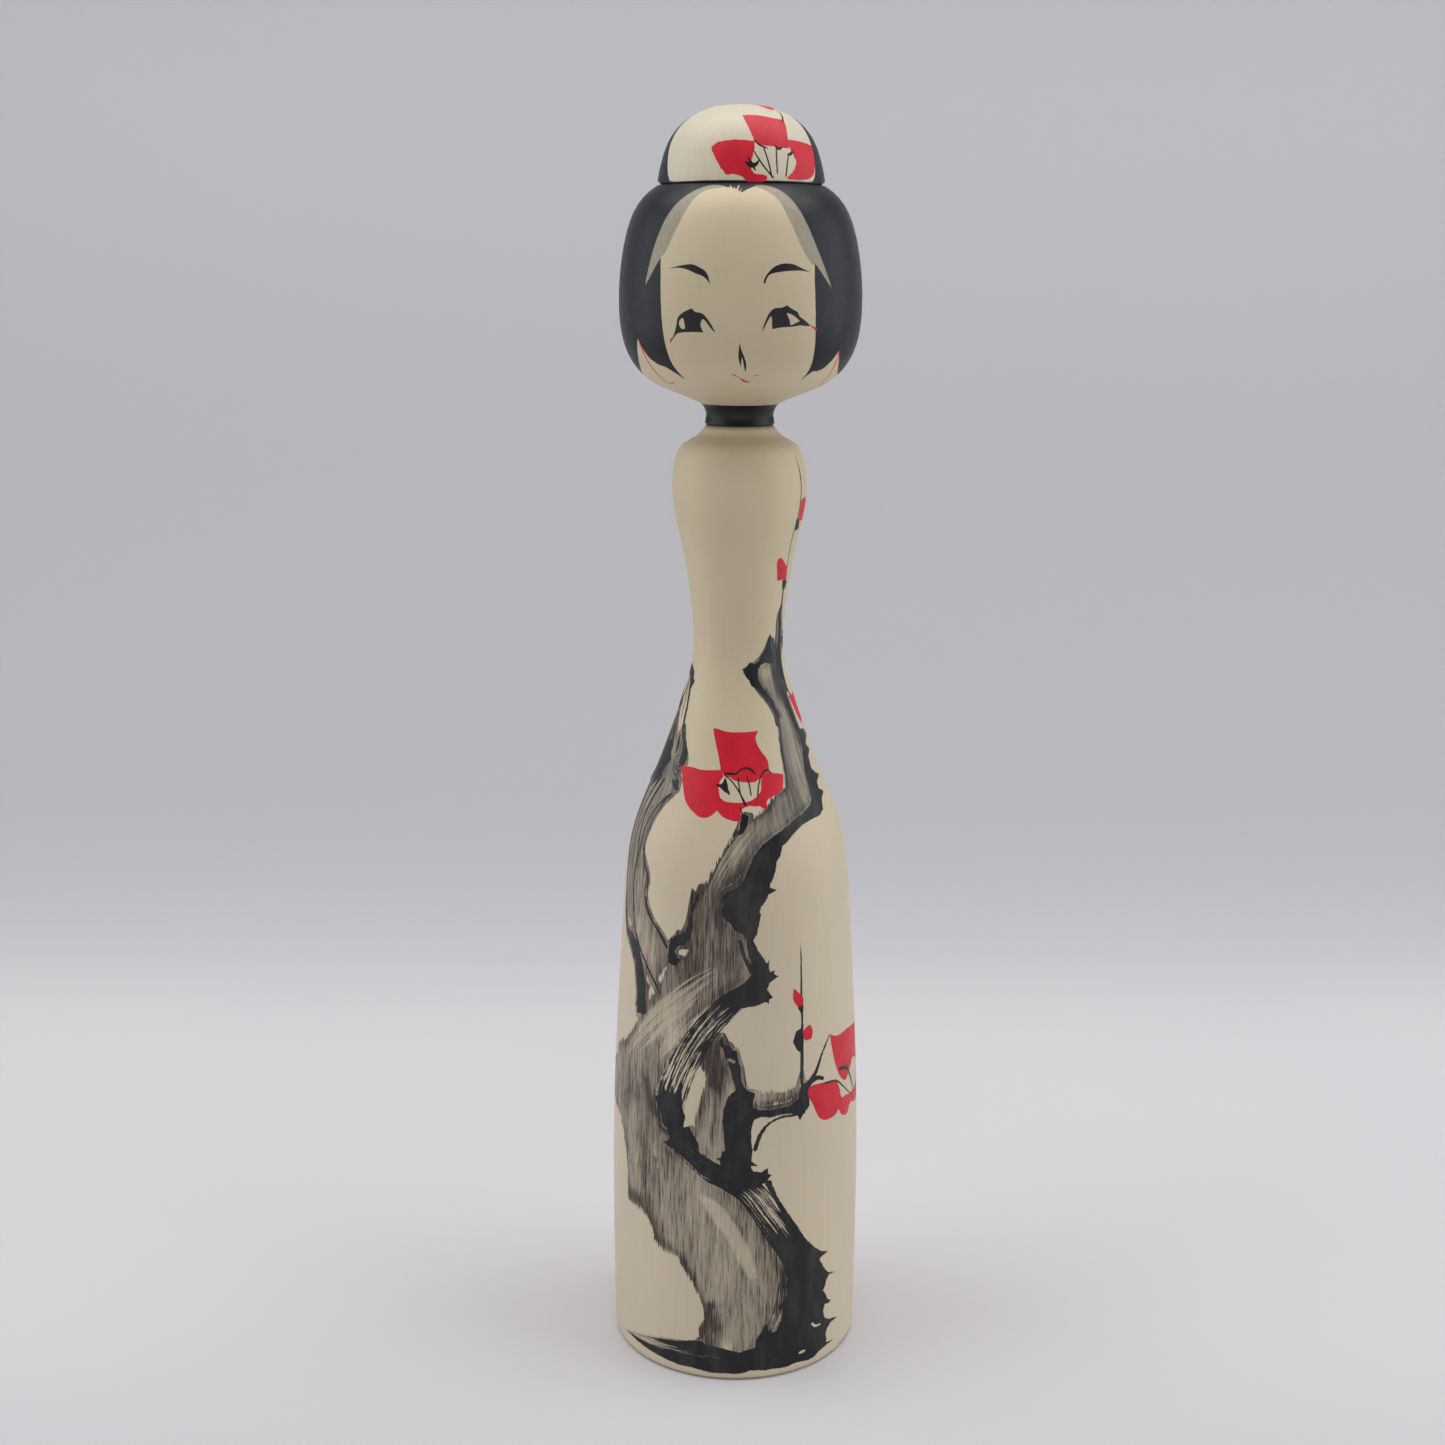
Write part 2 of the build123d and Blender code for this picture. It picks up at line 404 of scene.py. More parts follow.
def body_tone(canvas):
    """Where the wash is darker (above 0) or thinner (below 0)."""
    marks = (
        # pooled edges
        ([(-57, 34.8), (-50, 34.6), (-44, 33), (-39, 29)], 2.2, 0.7),
        ([(-39, 27.8), (-30, 27), (-23, 24), (-18, 20), (-14, 16.5), (-8, 16)], 1.6, 0.6),
        ([(-16, 10), (-13, 12), (-12, 15), (-8, 12), (-10, 8)], 2.4, 0.8),
        ([(-13, 12), (-12.5, 8), (-11.5, 5)], 4.4, 0.5),
        ([(-60, 38), (-62, 44), (-68, 48.5), (-80, 51)], 1.4, 0.35),
        ([(-76, 62), (-66, 65), (-56, 69.5)], 1.6, 0.4),
        ([(0, 110.3), (-8, 106.5), (-15, 101.5), (-20, 98)], 1.0, 0.8),
        ([(40, 131), (39, 128), (36.5, 124), (36, 120)], 0.9, 0.6),
        ([(30, 135.2), (37, 132.5), (43, 130.5)], 1.0, 0.7),
        ([(-13, 60), (-16, 55), (-17.5, 51.5)], 1.2, 0.45),
        ([(-7, 61), (-9, 56), (-9.5, 50)], 1.0, 0.5),
        ([(-12, 68), (-9, 65), (-8, 62)], 2.2, 0.8),
        # left branch
        ([(-76, 126), (-72, 121), (-66, 119)], 3.0, 0.7),
        ([(-58, 121), (-54, 119.6), (-50, 118.6)], 2.0, 0.3),
        ([(-80, 114), (-80, 106), (-76, 98), (-73, 91)], 1.6, 0.35),
        ([(-62, 112), (-62, 104), (-60, 98)], 1.2, 0.25),
        ([(-60, 84), (-56, 80), (-52, 76)], 1.6, 0.6),
        ([(-58, 90), (-51, 87), (-44, 84)], 3.6, -0.4),
        # roots of the branches
        ([(-55, 57), (-60, 55.5), (-62, 53)], 3.4, 0.5),
        ([(-46, 60), (-43, 56), (-40, 54)], 1.8, 0.75),
        ([(-44, 41), (-45, 37), (-42, 35)], 1.6, 0.45),
        ([(-54, 48), (-51, 43), (-46, 39)], 0.9, 0.4),
        ([(50, 138), (55, 134), (60, 130), (62, 125)], 1.4, 0.55),
        ([(10, 110.5), (2, 106), (-5, 101)], 2.6, 0.15),
        # broad changes of strength
        ([(26, 122), (12, 112), (0, 106), (-10, 99)], 9.0, 0.2),
        ([(-8, 97), (-14, 90), (-20, 82)], 16.0, 0.6),
        ([(-50, 66), (-56, 58), (-52, 48), (-46, 36)], 9.0, 0.12),
        ([(-40, 40), (-20, 32), (-4, 22), (6, 12)], 20.0, -0.3),
        ([(-78, 130), (-74, 110), (-68, 95), (-50, 86)], 10.0, -0.2),
        ([(58, 141), (56, 138), (54, 135)], 5.0, 0.8),
        ([(46, 137), (48, 130), (47, 122)], 4.0, -0.2),
        ([(48, 118), (42, 115.5), (32, 113.5)], 4.0, 0.25),
        ([(31, 140), (34, 138.6)], 2.0, -0.7),
        ([(-13, 69), (-9, 66), (-7, 63)], 4.6, 0.6),
        ([(-6, 63.4), (-3, 61)], 1.6, -0.7),
        ([(6, 57.6), (20, 57.6), (34, 59)], 2.0, 0.5),
        ([(6, 60.4), (18, 60.2), (28, 60.6)], 3.0, -0.5),
        ([(-9, 15), (-8.4, 12), (-9.4, 9)], 0.5, -0.8),
        ([(-9.4, 7.4), (-9.4, 4)], 5.0, -0.5),
        ([(-2.6, 7.4), (-2.8, 6)], 1.0, -0.8),
    )
    return np.clip(sum(canvas.soft(*mark) for mark in marks), -1, 1)


def branch_ink(canvas):
    """The right branch: its knot, the dark side round the elbow, and the axil under the blossom."""
    elbow = canvas.jagged([
        (58, 136), (63, 133), (66, 129), (69, 127), (80, 126.6), (86, 125.3), (76, 124.6), (72, 124),
        (77, 122.8), (69, 121.8), (67, 119.6), (72, 118.5), (78, 117.8), (68, 117), (67, 115.8),
        (73, 114.9), (66, 114), (63, 112.2), (57, 111.4), (48, 111.2), (40, 110.9), (33, 109.6),
        (28, 108.2), (25, 107.6), (23.5, 106), (21, 105), (19.5, 102.6), (17.2, 101), (17, 100.2),
        (20.5, 99.7), (16, 98.9), (14.5, 97.7), (12, 96.6), (11.3, 95.6), (12.2, 95.3), (11, 93.6),
        (10, 91.4), (7.5, 90), (5, 90.4), (3, 91.6), (-1, 92.2), (-3, 93.6), (-7, 94.8), (-8, 95.6),
        (-6.5, 97), (-7.5, 98.6), (-5, 99.6), (-1, 100.2), (3, 101.6), (6, 104), (9, 106.3), (14, 108.2),
        (22, 109.8), (30, 111), (37, 112.2), (44, 113), (50, 113.6), (53.5, 114.6), (55, 117), (56, 119.4),
        (59, 121.6), (63, 123.8), (64.3, 126.5), (62, 130), (58, 133.6),
    ])
    knot = canvas.jagged([
        (5.3, 139.5), (10, 139.9), (15, 140.7), (20, 140.3), (25.4, 140.8), (31.4, 142), (37.8, 143.3),
        (41, 144.8), (44.2, 145.7), (46, 144.7), (47, 143.1), (49.3, 141.7), (52.5, 140.9), (51, 139.8),
        (42.7, 140.1), (35, 140.4), (29, 140), (24.8, 139.2), (24.1, 137.9), (25.8, 136.8), (29.8, 135.6),
        (34.9, 134.4), (40, 133.2), (41.2, 131.3), (41.8, 129), (39.6, 129.4), (38.6, 130.6), (35.4, 132.3),
        (30.6, 133.6), (24.5, 134.8), (18.3, 136), (15, 136.4), (13, 137.3), (9.8, 137.9), (6.4, 138.8),
    ])
    axil = canvas.jagged([
        (0, 109.8), (1.6, 111.4), (2.4, 113.2), (4.4, 113.7), (7, 113.3), (6, 111.6), (3.4, 110.3),
    ])
    return union(elbow, knot, axil)


def left_branch_ink(canvas):
    """The left branch, from its split tip down to its foot in front of the trunk."""
    left_tip = canvas.jagged([
        (-82, 139.4), (-71.3, 138.7), (-64.5, 138), (-62.9, 136.9), (-58.3, 136.3), (-61, 135.4),
        (-63.7, 134.4), (-68.8, 136.3), (-80.5, 137.1), (-86, 138),
    ])
    strands = canvas.strokes(
        [
            (-72, 137.8, 0.7), (-64.8, 134.6, 0.7), (-60, 131.7, 0.66), (-57.6, 128.8, 0.66),
            (-53.3, 126.3, 0.6), (-48.6, 124.9, 0.7), (-45.4, 123.4, 1.2), (-45, 121.8, 1.4),
            (-48, 120.8, 0.5),
        ],
        [
            (-73, 137, 0.5), (-75, 134.3, 0.7), (-77.5, 130.6, 0.9), (-78.4, 127.4, 1.0),
            (-78.2, 123.5, 1.4), (-80, 120, 1.6), (-80.5, 116.4, 1.0), (-82, 112, 0.8), (-80.6, 107, 0.8),
            (-78, 101, 0.8), (-76, 95, 0.8), (-74, 90.5, 0.9), (-70, 87.6, 1.0), (-64, 85.6, 0.9),
            (-59, 83, 0.7),
        ],
        [(-71.5, 135.4, 0.2), (-68, 132.4, 0.36), (-64.6, 129.2, 0.2)],
        [(-75, 132.4, 0.3), (-71, 128.2, 0.5), (-68.4, 125.4, 0.9), (-66, 122.6, 1.3)],
        [(-57.8, 126.4, 0.3), (-57, 124.7, 0.8), (-56.2, 123, 0.4)],
        [
            (-60, 117.7, 0.7), (-66, 113.5, 0.5), (-67.6, 109.6, 0.5), (-65.7, 105.4, 0.44),
            (-63.4, 102, 0.44), (-65.4, 99, 0.5), (-64, 94, 0.6), (-61, 89.4, 0.5), (-57, 86, 0.5),
        ],
        [(-49, 115.6, 0.4), (-57.3, 112.7, 0.44), (-62, 109, 0.4), (-62.4, 105, 0.4), (-61, 102.4, 0.2)],
        [
            (-66, 118, 0.9), (-72, 114, 0.6), (-75.4, 109, 0.5), (-74, 103, 0.44), (-71, 97, 0.4),
            (-68.6, 91, 0.3),
        ],
        [(-62, 117, 0.4), (-69, 111.6, 0.4), (-71.6, 106, 0.4), (-69, 100, 0.2)],
        [(-47, 115.8, 0.4), (-52, 114, 0.4), (-56, 111.4, 0.34), (-58.6, 108, 0.36), (-59.2, 104.6, 0.44)],
        [
            (-52.4, 96, 0.4), (-50, 93.6, 0.9), (-46.6, 92, 0.6), (-42.6, 90.6, 0.6), (-38.6, 89, 0.9),
            (-35.6, 87.4, 0.5),
        ],
        [(-59, 88, 0.4), (-54, 85.2, 0.5), (-47, 82, 0.5), (-41.7, 79.6, 0.6), (-38.4, 78, 0.3)],
        [(-58.4, 105, 0.3), (-56.4, 102.6, 0.8), (-53, 101, 0.6), (-51.2, 99, 0.8), (-52, 97.4, 0.2)],
    )
    strand_knot = canvas.jagged([
        (-73, 124.6), (-66, 125.4), (-63.3, 124), (-63.3, 122.8), (-59.4, 121.5), (-63.4, 120.2),
        (-65.9, 118.9), (-68.5, 117.5), (-72.9, 116.1), (-76, 115), (-78, 117), (-82, 119), (-82, 121.5),
        (-80, 123.5),
    ])
    fork = canvas.jagged([
        (-42, 121.7), (-45, 123.2), (-50, 125.6), (-54, 128.6), (-51.5, 125.5), (-49, 123), (-49.5, 121.4),
        (-46, 121.2),
    ])
    thorn_left = canvas.jagged([
        (-42.5, 116.6), (-43.5, 118.2), (-46, 118.7), (-49, 118.2), (-52, 118.4), (-49, 117.2),
        (-45, 116.5),
    ])
    branch_foot = canvas.jagged([
        (-70, 88), (-64.5, 86.6), (-60.6, 84.6), (-57.2, 81.6), (-55.6, 78), (-55.4, 75.4), (-56.4, 73.6),
        (-55, 73.8), (-54.8, 72.4), (-52.6, 72.6), (-49, 72.6), (-47.4, 73.4), (-48.2, 76), (-48.6, 78.6),
        (-51.6, 82.6), (-55.6, 85.6), (-62, 87.6),
    ])
    return union(left_tip, strands, strand_knot, fork, thorn_left, branch_foot)


def trunk_ink(canvas):
    """The trunk's hollow eye, its thorn, its bend and the old stump inside the bend."""
    eye = canvas.jagged([
        (-35, 84.6), (-34.4, 87.6), (-33.4, 89.4), (-30.4, 90.2), (-29.8, 91.2), (-29, 90.3), (-26, 91.2),
        (-23.6, 93.4), (-22.8, 95.4), (-23.2, 99.8), (-22.4, 99.8), (-21.8, 96.4), (-20.6, 98.4), (-19, 99),
        (-18.6, 100.2), (-19.4, 97.6), (-22, 95), (-21.4, 92.4), (-23, 90), (-25.6, 88.6), (-29.6, 88.2),
        (-31, 87), (-29, 85.8), (-27.4, 85.7), (-30, 84.2), (-33, 84.4),
    ])
    thorn = canvas.jagged([
        (0.6, 90.6), (2.4, 87.6), (5, 85), (7, 83.6), (4, 82.2), (0, 81.2), (-6, 79.8), (-10, 78.4),
        (-4, 77.4), (3, 77.2), (9, 77.5), (14, 78.2), (15.6, 77.8), (15.6, 78.6), (17.6, 79), (16, 79.7),
        (15, 80.6), (15.8, 81.8), (18, 82.4), (20.6, 83), (18, 83.6), (19, 84.2), (16.4, 84), (15.6, 85),
        (16.5, 86.9), (14.8, 85.6), (13.4, 86.6), (10.6, 88.2), (9, 89.7), (7.2, 90.6), (4.4, 90.6),
        (5.6, 88), (7.4, 85.4), (4.6, 87.4), (2.8, 90.2),
    ])
    bend = canvas.jagged([
        (-40, 57.6), (-38.4, 55.6), (-36, 54), (-33, 52.2), (-31.4, 50.4), (-31.4, 49.4), (-34.8, 48.5),
        (-31, 47.8), (-27.6, 46.8), (-23, 45.4), (-18, 43.7), (-12, 42), (-6, 41), (-1, 40.5), (2, 39.7),
        (6, 42), (4, 46), (-2, 45), (-8, 45.8), (-12.6, 47.3), (-16, 48.2), (-16.8, 50), (-18.6, 51.2),
        (-21.4, 53), (-24.2, 52.4), (-23.2, 54.6), (-24.6, 56.5), (-25.2, 59.5), (-24.4, 62.4), (-27, 61),
        (-28.8, 58.6), (-30, 60.6), (-32.6, 58), (-35, 60.4), (-37, 57.6),
    ])
    inner = canvas.jagged([
        (-9, 71.6), (-7.4, 70.6), (-6, 71.8), (-5, 70), (-2.6, 69.8), (-1, 68.8), (0.6, 69), (1.4, 67),
        (2.6, 65.2), (2.8, 62.8), (4.6, 61.4), (7, 60.6), (9, 60.3), (8.4, 59.2), (7.6, 57.5), (12, 56.8),
        (18, 56.7), (26, 57), (30, 58.2), (31.6, 61.4), (33, 60.9), (36, 60.8), (36.4, 59), (36, 56),
        (34.6, 55.4), (32.6, 54.7), (30.6, 53.6), (29.4, 54.6), (26, 55.4), (21, 55.6), (16, 55.2),
        (12, 55.6), (8.6, 55), (7.4, 53.5), (7.2, 51), (7.8, 48.5), (7.4, 46.6), (10.4, 45.5), (7, 45.6),
        (8, 44.6), (12, 44.2), (14.8, 45), (15.2, 43.8), (16.6, 43.4), (14, 42), (8, 40.6), (0, 42),
        (-6, 44.4), (-6.8, 46.5), (-8.4, 47.2), (-6.4, 47.4), (-5.6, 48.9), (-4.4, 48.6), (-5, 51),
        (-5.6, 54.5), (-5.2, 57), (-3.6, 59.5), (-1.6, 60.4), (0.4, 61), (-1.6, 63.5), (-3.6, 66.6),
        (-2.4, 66.8), (-0.6, 66.2), (0, 66.8), (-3, 67.4), (-4.6, 66.8), (-5.6, 69), (-7.6, 70),
    ])
    under_twig = canvas.stroke([
        (33, 54.9, 0.5), (27, 54.9, 0.5), (21, 54.9, 0.45), (15.5, 54, 0.5), (11.5, 52, 0.7), (9, 49, 0.9),
    ])
    return union(eye, thorn, bend, inner, under_twig)


def root_ink(canvas):
    """The thorny root and the band that it spreads along the foot."""
    root = canvas.jagged([
        (14, 42.4), (16.4, 42.4), (17.4, 41), (19.6, 38.8), (24, 35.4), (29, 32), (34, 28.6), (39.4, 26),
        (43.6, 24.6), (48.6, 23.7), (44.6, 23.4), (42.6, 22.9), (45, 21.4), (46.4, 20.2), (49, 19.1),
        (54.6, 18.2), (49.4, 18.4), (47.6, 17.4), (46.8, 16.4), (45.4, 15.6), (47.4, 14.6), (49, 13.2),
        (51.4, 12.6), (50.4, 12.1), (47, 12.4), (46.2, 11.2), (46.8, 9.6), (50, 8.6), (54, 8.2),
        (57.6, 7.6), (52, 7.5), (49.4, 6.8), (48, 5.6), (49.2, 4.4), (48.5, 3.8), (52, 3.4), (55, 3.2),
        (50, 3.1), (47.1, 2.9), (43.1, 2.5), (41.2, 1.9), (36.9, 1.7), (33, 2), (29.6, 2.1), (25, 1.7),
        (21.8, 1.8), (18, 2), (14.6, 1.8), (11, 2.1), (7.5, 2.1), (4, 1.6), (0.7, 1.5), (-6.2, 1.6),
        (-13.2, 1.7), (-20.4, 2), (-26, 1.9), (-30.8, 2.1), (-34, 2.6), (-32, 2.9), (-24, 4.6), (-19, 4.9),
        (-14.6, 4.6), (-13.4, 3.9), (-11, 3.6), (-9, 4), (-6, 3.8), (-5.4, 5.4), (-3.4, 5.6), (-2.8, 6),
        (-1.4, 6.4), (1, 6.1), (4, 6.3), (5, 6.6), (9.6, 7), (10.6, 9), (13, 10.8), (15, 12.4), (16, 10.4),
        (18.4, 10.6), (21, 13.6), (20.6, 15.6), (22.6, 16), (23.2, 18.4), (22, 20.5), (23, 23), (22.4, 25),
        (19.6, 27.4), (17, 29.8), (19, 30.8), (22, 30.4), (25, 29.2), (28, 30), (24.8, 32.4), (20.8, 35.6),
        (17, 39), (13.6, 41.6),
    ])
    left_line = canvas.stroke([
        (0, 40.2, 0.5), (6, 37, 0.45), (12, 33.2, 0.45), (18, 29, 0.5), (22.6, 24.6, 0.7),
    ])
    tail = canvas.jagged([
        (-64, 3.4), (-56, 3.2), (-49.8, 2.9), (-39.5, 2.5), (-30.8, 2.1), (-20.4, 2), (-10, 1.8), (-8, 2.6),
        (-14, 3.8), (-20, 4.4), (-27, 4.6), (-36, 4.2), (-46, 4), (-54, 3.8),
    ])
    heel = canvas.jagged([
        (-42, 5.6), (-36, 6.3), (-30, 6.7), (-24, 7.4), (-19, 8), (-14.6, 8.1), (-11, 6.6), (-12, 5.2),
        (-20, 5.4), (-28, 5.6), (-36, 5.5),
    ])
    return union(root, left_line, tail, heel)


def twig_ink(canvas):
    """Thin twigs, drawn from the tip down."""
    return canvas.strokes(
        [
            (60, 179.4, 0.12), (62.5, 177.5, 0.28), (64.5, 174.5, 0.34), (65, 171, 0.36), (63.6, 167, 0.34),
            (61.6, 164, 0.3), (62, 161, 0.3), (63.6, 157.5, 0.4), (62.6, 154, 0.5), (62.8, 150.9, 0.6),
            (61, 149, 1.0), (64.6, 146.9, 1.3), (66, 144.4, 1.4), (63.4, 142.4, 1.6), (61.6, 140.9, 1.9),
            (59.6, 139, 2.2), (56, 136.9, 2.0), (55.6, 135, 1.5), (58.6, 133, 1.2), (60.6, 130.7, 1.0),
            (63, 128, 1.0), (65.4, 126.4, 1.1),
        ],
        [
            (68.3, 141.6, 0.4), (65.4, 139, 0.5), (66, 136, 0.5), (71.6, 133.1, 0.5), (76.7, 130, 0.5),
            (80, 127.8, 0.4),
        ],
        [
            (33, 89.8, 0.1), (32.7, 86, 0.26), (32.6, 80, 0.42), (32.6, 74, 0.5), (32.2, 68, 0.62),
            (32, 61, 0.8),
        ],
        [(35.6, 60.4, 1.3), (40, 62.4, 0.9), (44.4, 65.8, 0.5), (50, 68.9, 0.28)],
        [(36, 60.7, 1.3), (40.6, 61.2, 1.0), (44.6, 60.6, 0.7)],
    )


def back_ink(canvas):
    """Branches and twigs that run on round the back."""
    return union(
        canvas.strokes(
            [
                (66, 144.2, 1.6), (84, 144, 1.3), (100, 145, 1.1), (116, 148.6, 0.8), (130, 153.6, 0.5),
                (138, 158.5, 0.2),
            ],
            [(112, 147.6, 0.8), (124, 147.2, 0.5), (138, 144, 0.3), (146, 139.5, 0.12)],
            [(-80, 131, 1.2), (-88, 134, 1.2), (-98, 136.5, 0.9), (-110, 140, 0.5), (-120, 146, 0.15)],
            [(-82, 118, 1.6), (-92, 116, 1.1), (-104, 116, 0.6), (-116, 119, 0.2)],
            [(110, 61, 1.3), (124, 64, 1.0), (140, 70, 0.7), (150, 79, 0.45), (154, 92, 0.15)],
            [(136, 68.4, 0.8), (150, 69, 0.5), (163, 72.5, 0.2)],
        ),
        canvas.jagged([(108, 62.6), (112, 60.2), (120, 61), (126, 63.2), (122, 65), (116, 64.2)]),
    )


def ink_gaps(canvas):
    """Wood that shows through the ink."""
    return union(
        canvas.patch([(31, 3.9), (33, 4.4), (35.4, 4.2), (34, 3.7)]),
        canvas.strokes(
            [(-30, 47.9, 0.1), (-23, 45.9, 0.3), (-16, 43.6, 0.1)],
            [(-21, 48.6, 0.1), (-17, 47, 0.26), (-11, 44.4, 0.1)],
            [(-18, 48.8, 0.1), (-13, 47, 0.24), (-8, 45, 0.1)],
            [(-23, 47.6, 0.1), (-18, 45.6, 0.2), (-13, 43.6, 0.1)],
            [(-19, 44.2, 0.1), (-13, 42.9, 0.24), (-8, 42.4, 0.1)],
            [(39, 9.4, 0.5), (41, 8.6, 0.45), (44, 8.5, 0.3)],
        ),
        canvas.jagged([(38, 112.2), (43, 113), (46, 113.1), (42, 112.5)]),
        canvas.jagged([(23.2, 23), (24.8, 21), (24.8, 17.4), (23.4, 16.4), (24, 19.5)]),
        canvas.jagged([(17.4, 9.9), (18.2, 11.8), (21.6, 14.2), (23.2, 15), (22, 12.6), (19.6, 10)]),
    )


def body_ink(canvas):
    """Full black ink: dark sides, knots, thorns and twigs."""
    parts = (branch_ink, left_branch_ink, trunk_ink, root_ink, twig_ink, back_ink)
    return without(union(*(part(canvas) for part in parts)), ink_gaps(canvas))


def combed(canvas, *strokes):
    """Streaky strokes: distance to the nearest one's edge, distances across and along it, and bareness.

    Each is its (angle, height, width) points and the (distance run, bareness) pairs between which it
    dries. Its hairs are spread and shifted a little further than the last one's, so that no two match.
    """
    spread, shift = 0.35, 7
    marks = []
    for k, (points, drying) in enumerate(strokes):
        far, across, along = canvas.drag(points)
        hairs = across * (1 + spread * k) + shift * k
        marks.append((far, hairs, along, np.interp(along, *zip(*drying))))
    nearest = np.argmin([mark[0] for mark in marks], axis=0)
    rows = np.arange(len(nearest))
    return [np.stack(values)[nearest, rows] for values in zip(*marks)]


def body_dry(canvas):
    """Ink dragged from a drying brush."""
    return combed(
        canvas,
        (
            [
                (9, 79.4, 2.6), (2, 79, 3.6), (-5, 77, 4.6), (-13, 73.4, 5), (-20, 69, 5.6), (-26, 63.6, 6),
                (-30, 58.5, 6.4), (-32, 53, 6),
            ],
            [(0, 0.1), (5, 0.3), (10, 0.46), (26, 0.52), (36, 0.5), (44, 0.1)],
        ),
        (
            [
                (-26, 49, 2.4), (-14, 45.4, 3.4), (-4, 43, 4.4), (6, 40.6, 5.4), (14, 36, 6),
                (24, 29.5, 6.4), (31, 24, 5),
            ],
            [(0, 0.4), (6, 0.3), (12, 0.05), (18, 0.5), (24, 0.56), (32, 0.1)],
        ),
        (
            [(-60, 3.6, 0.5), (-42, 4.8, 2.4), (-26, 5.6, 3.6), (-12, 5.4, 4.2), (0, 4.4, 4)],
            [(0, 0.7), (12, 0.5), (30, 0.0)],
        ),
        (
            [(24, 24.5, 1.4), (23.4, 20.5, 2.4), (22.6, 16, 3), (20, 12, 3.2), (15, 9, 3)],
            [(0, 0.4), (8, 0.5), (18, 0.45)],
        ),
    )


def body_lift(canvas):
    """Pale streaks where a stiff brush lifted the wet wash."""
    return combed(
        canvas,
        (
            [(-64, 61.5, 2), (-51, 67.6, 4), (-40, 72.6, 5), (-29, 77, 5), (-16, 82, 4), (-6, 85, 2)],
            [(0, 0.2), (14, 0.62), (24, 0.56), (34, 0.1)],
        ),
        (
            [(-40, 64.4, 1), (-30.6, 70, 2.6), (-22, 74.6, 2.2), (-12, 78.4, 1)],
            [(0, 0.3), (7, 0.7), (16, 0.2)],
        ),
        (
            [
                (-15, 38.8, 0.8), (-10, 37, 2.8), (-4.5, 34, 3), (0.5, 30.5, 2.8), (5, 26, 2.6),
                (10, 21, 1.2),
            ],
            [(0, 1.0), (12, 1.0), (20, 0.7)],
        ),
        ([(-40, 49, 0.3), (-39.5, 45.5, 0.8), (-37.5, 43, 0.3)], [(0, 1.0), (6, 1.0)]),
        ([(12, 112, 2), (2, 108.4, 3), (-7, 103.4, 3), (-14, 97, 2)], [(0, 0.3), (8, 0.5), (22, 0.1)]),
    )


def hip_blossom(canvas):
    """The large blossom at the hip, round its bare middle."""
    petals = canvas.patches(
        [
            (-22.5, 128.6, True), (-17, 128.5), (-8, 128.1), (6, 128.1), (18.4, 128.2, True), (15.6, 127.2),
            (16, 126), (19.5, 124.4), (23.4, 122.9), (23.8, 121.2, True), (20, 120.3), (10, 119),
            (0, 119.2), (-8, 120.2), (-12.4, 121.3, True), (-14.5, 123.4), (-18.5, 126),
        ],
        [
            (-46, 121, True), (-36, 121.2), (-26, 121), (-12, 121.3, True), (-10, 120), (-12.6, 118.4),
            (-11, 116.4), (-9.6, 115.6), (-12.4, 114.1, True), (-17, 112.9), (-22.5, 112.7), (-28, 113.6),
            (-34, 115), (-39, 117.4), (-43, 119.6),
        ],
        [
            (20, 120.8), (27, 120.5), (34.4, 120.1, True), (33.4, 118.6), (31, 117.2, True), (27, 116.7),
            (21.6, 116.2), (19, 115.6), (19, 114.5), (16.6, 114.4), (13, 115.3), (12, 116.6), (15.8, 117.6),
            (16.6, 119.2),
        ],
        [
            (-12.8, 115.6), (-12, 114, True), (-8, 113), (-2, 112.4), (1.8, 112.4, True), (2.6, 114.3),
            (7, 115), (14, 115), (15, 116.8), (10, 116.2), (4, 115.7), (-6, 115.8), (-10, 116.3),
        ],
    )
    middle = canvas.patch([
        (-12.6, 118.6), (-10, 120), (-5, 120), (-1, 119.4), (10, 119.1), (15.6, 119.3), (15.6, 117.6),
        (11, 116.3), (5, 115.7), (-4, 115.7), (-10, 116.2),
    ])
    return without(petals, middle)


def right_blossom(canvas):
    """The blossom that runs over the right edge."""
    return without(
        canvas.patches(
            [
                (35, 58.8), (37.5, 60, True), (44, 59.8), (54, 59.2, True), (57, 57), (58.5, 55), (61, 54),
                (56.5, 53), (53, 51.9), (46, 51.9), (41.6, 53), (38.5, 55.6),
            ],
            [
                (55.6, 53.8), (58, 51.4), (64, 50.4), (69, 52), (78, 51), (90, 52), (95, 54), (84, 54.4),
                (70, 54), (62, 54.6),
            ],
            [
                (50, 69, True), (56, 67.9), (68, 67.8), (80, 67), (92, 65.6), (97, 62), (94, 58.8),
                (84, 59), (74, 60.6), (67, 58), (61.5, 57.9), (57, 59.6, True), (53.6, 62.6), (51.5, 66),
            ],
            [(92, 59.5), (98, 61), (108, 61), (112, 58.6), (109, 55.4), (101, 54), (94, 54.6), (91, 57)],
        ),
        canvas.patch([
            (59, 56), (64, 57.6), (72, 59.8), (82, 58.8), (92, 58.4), (92, 55.4), (84, 54.6), (72, 54.4),
            (63, 54.8),
        ]),
    )


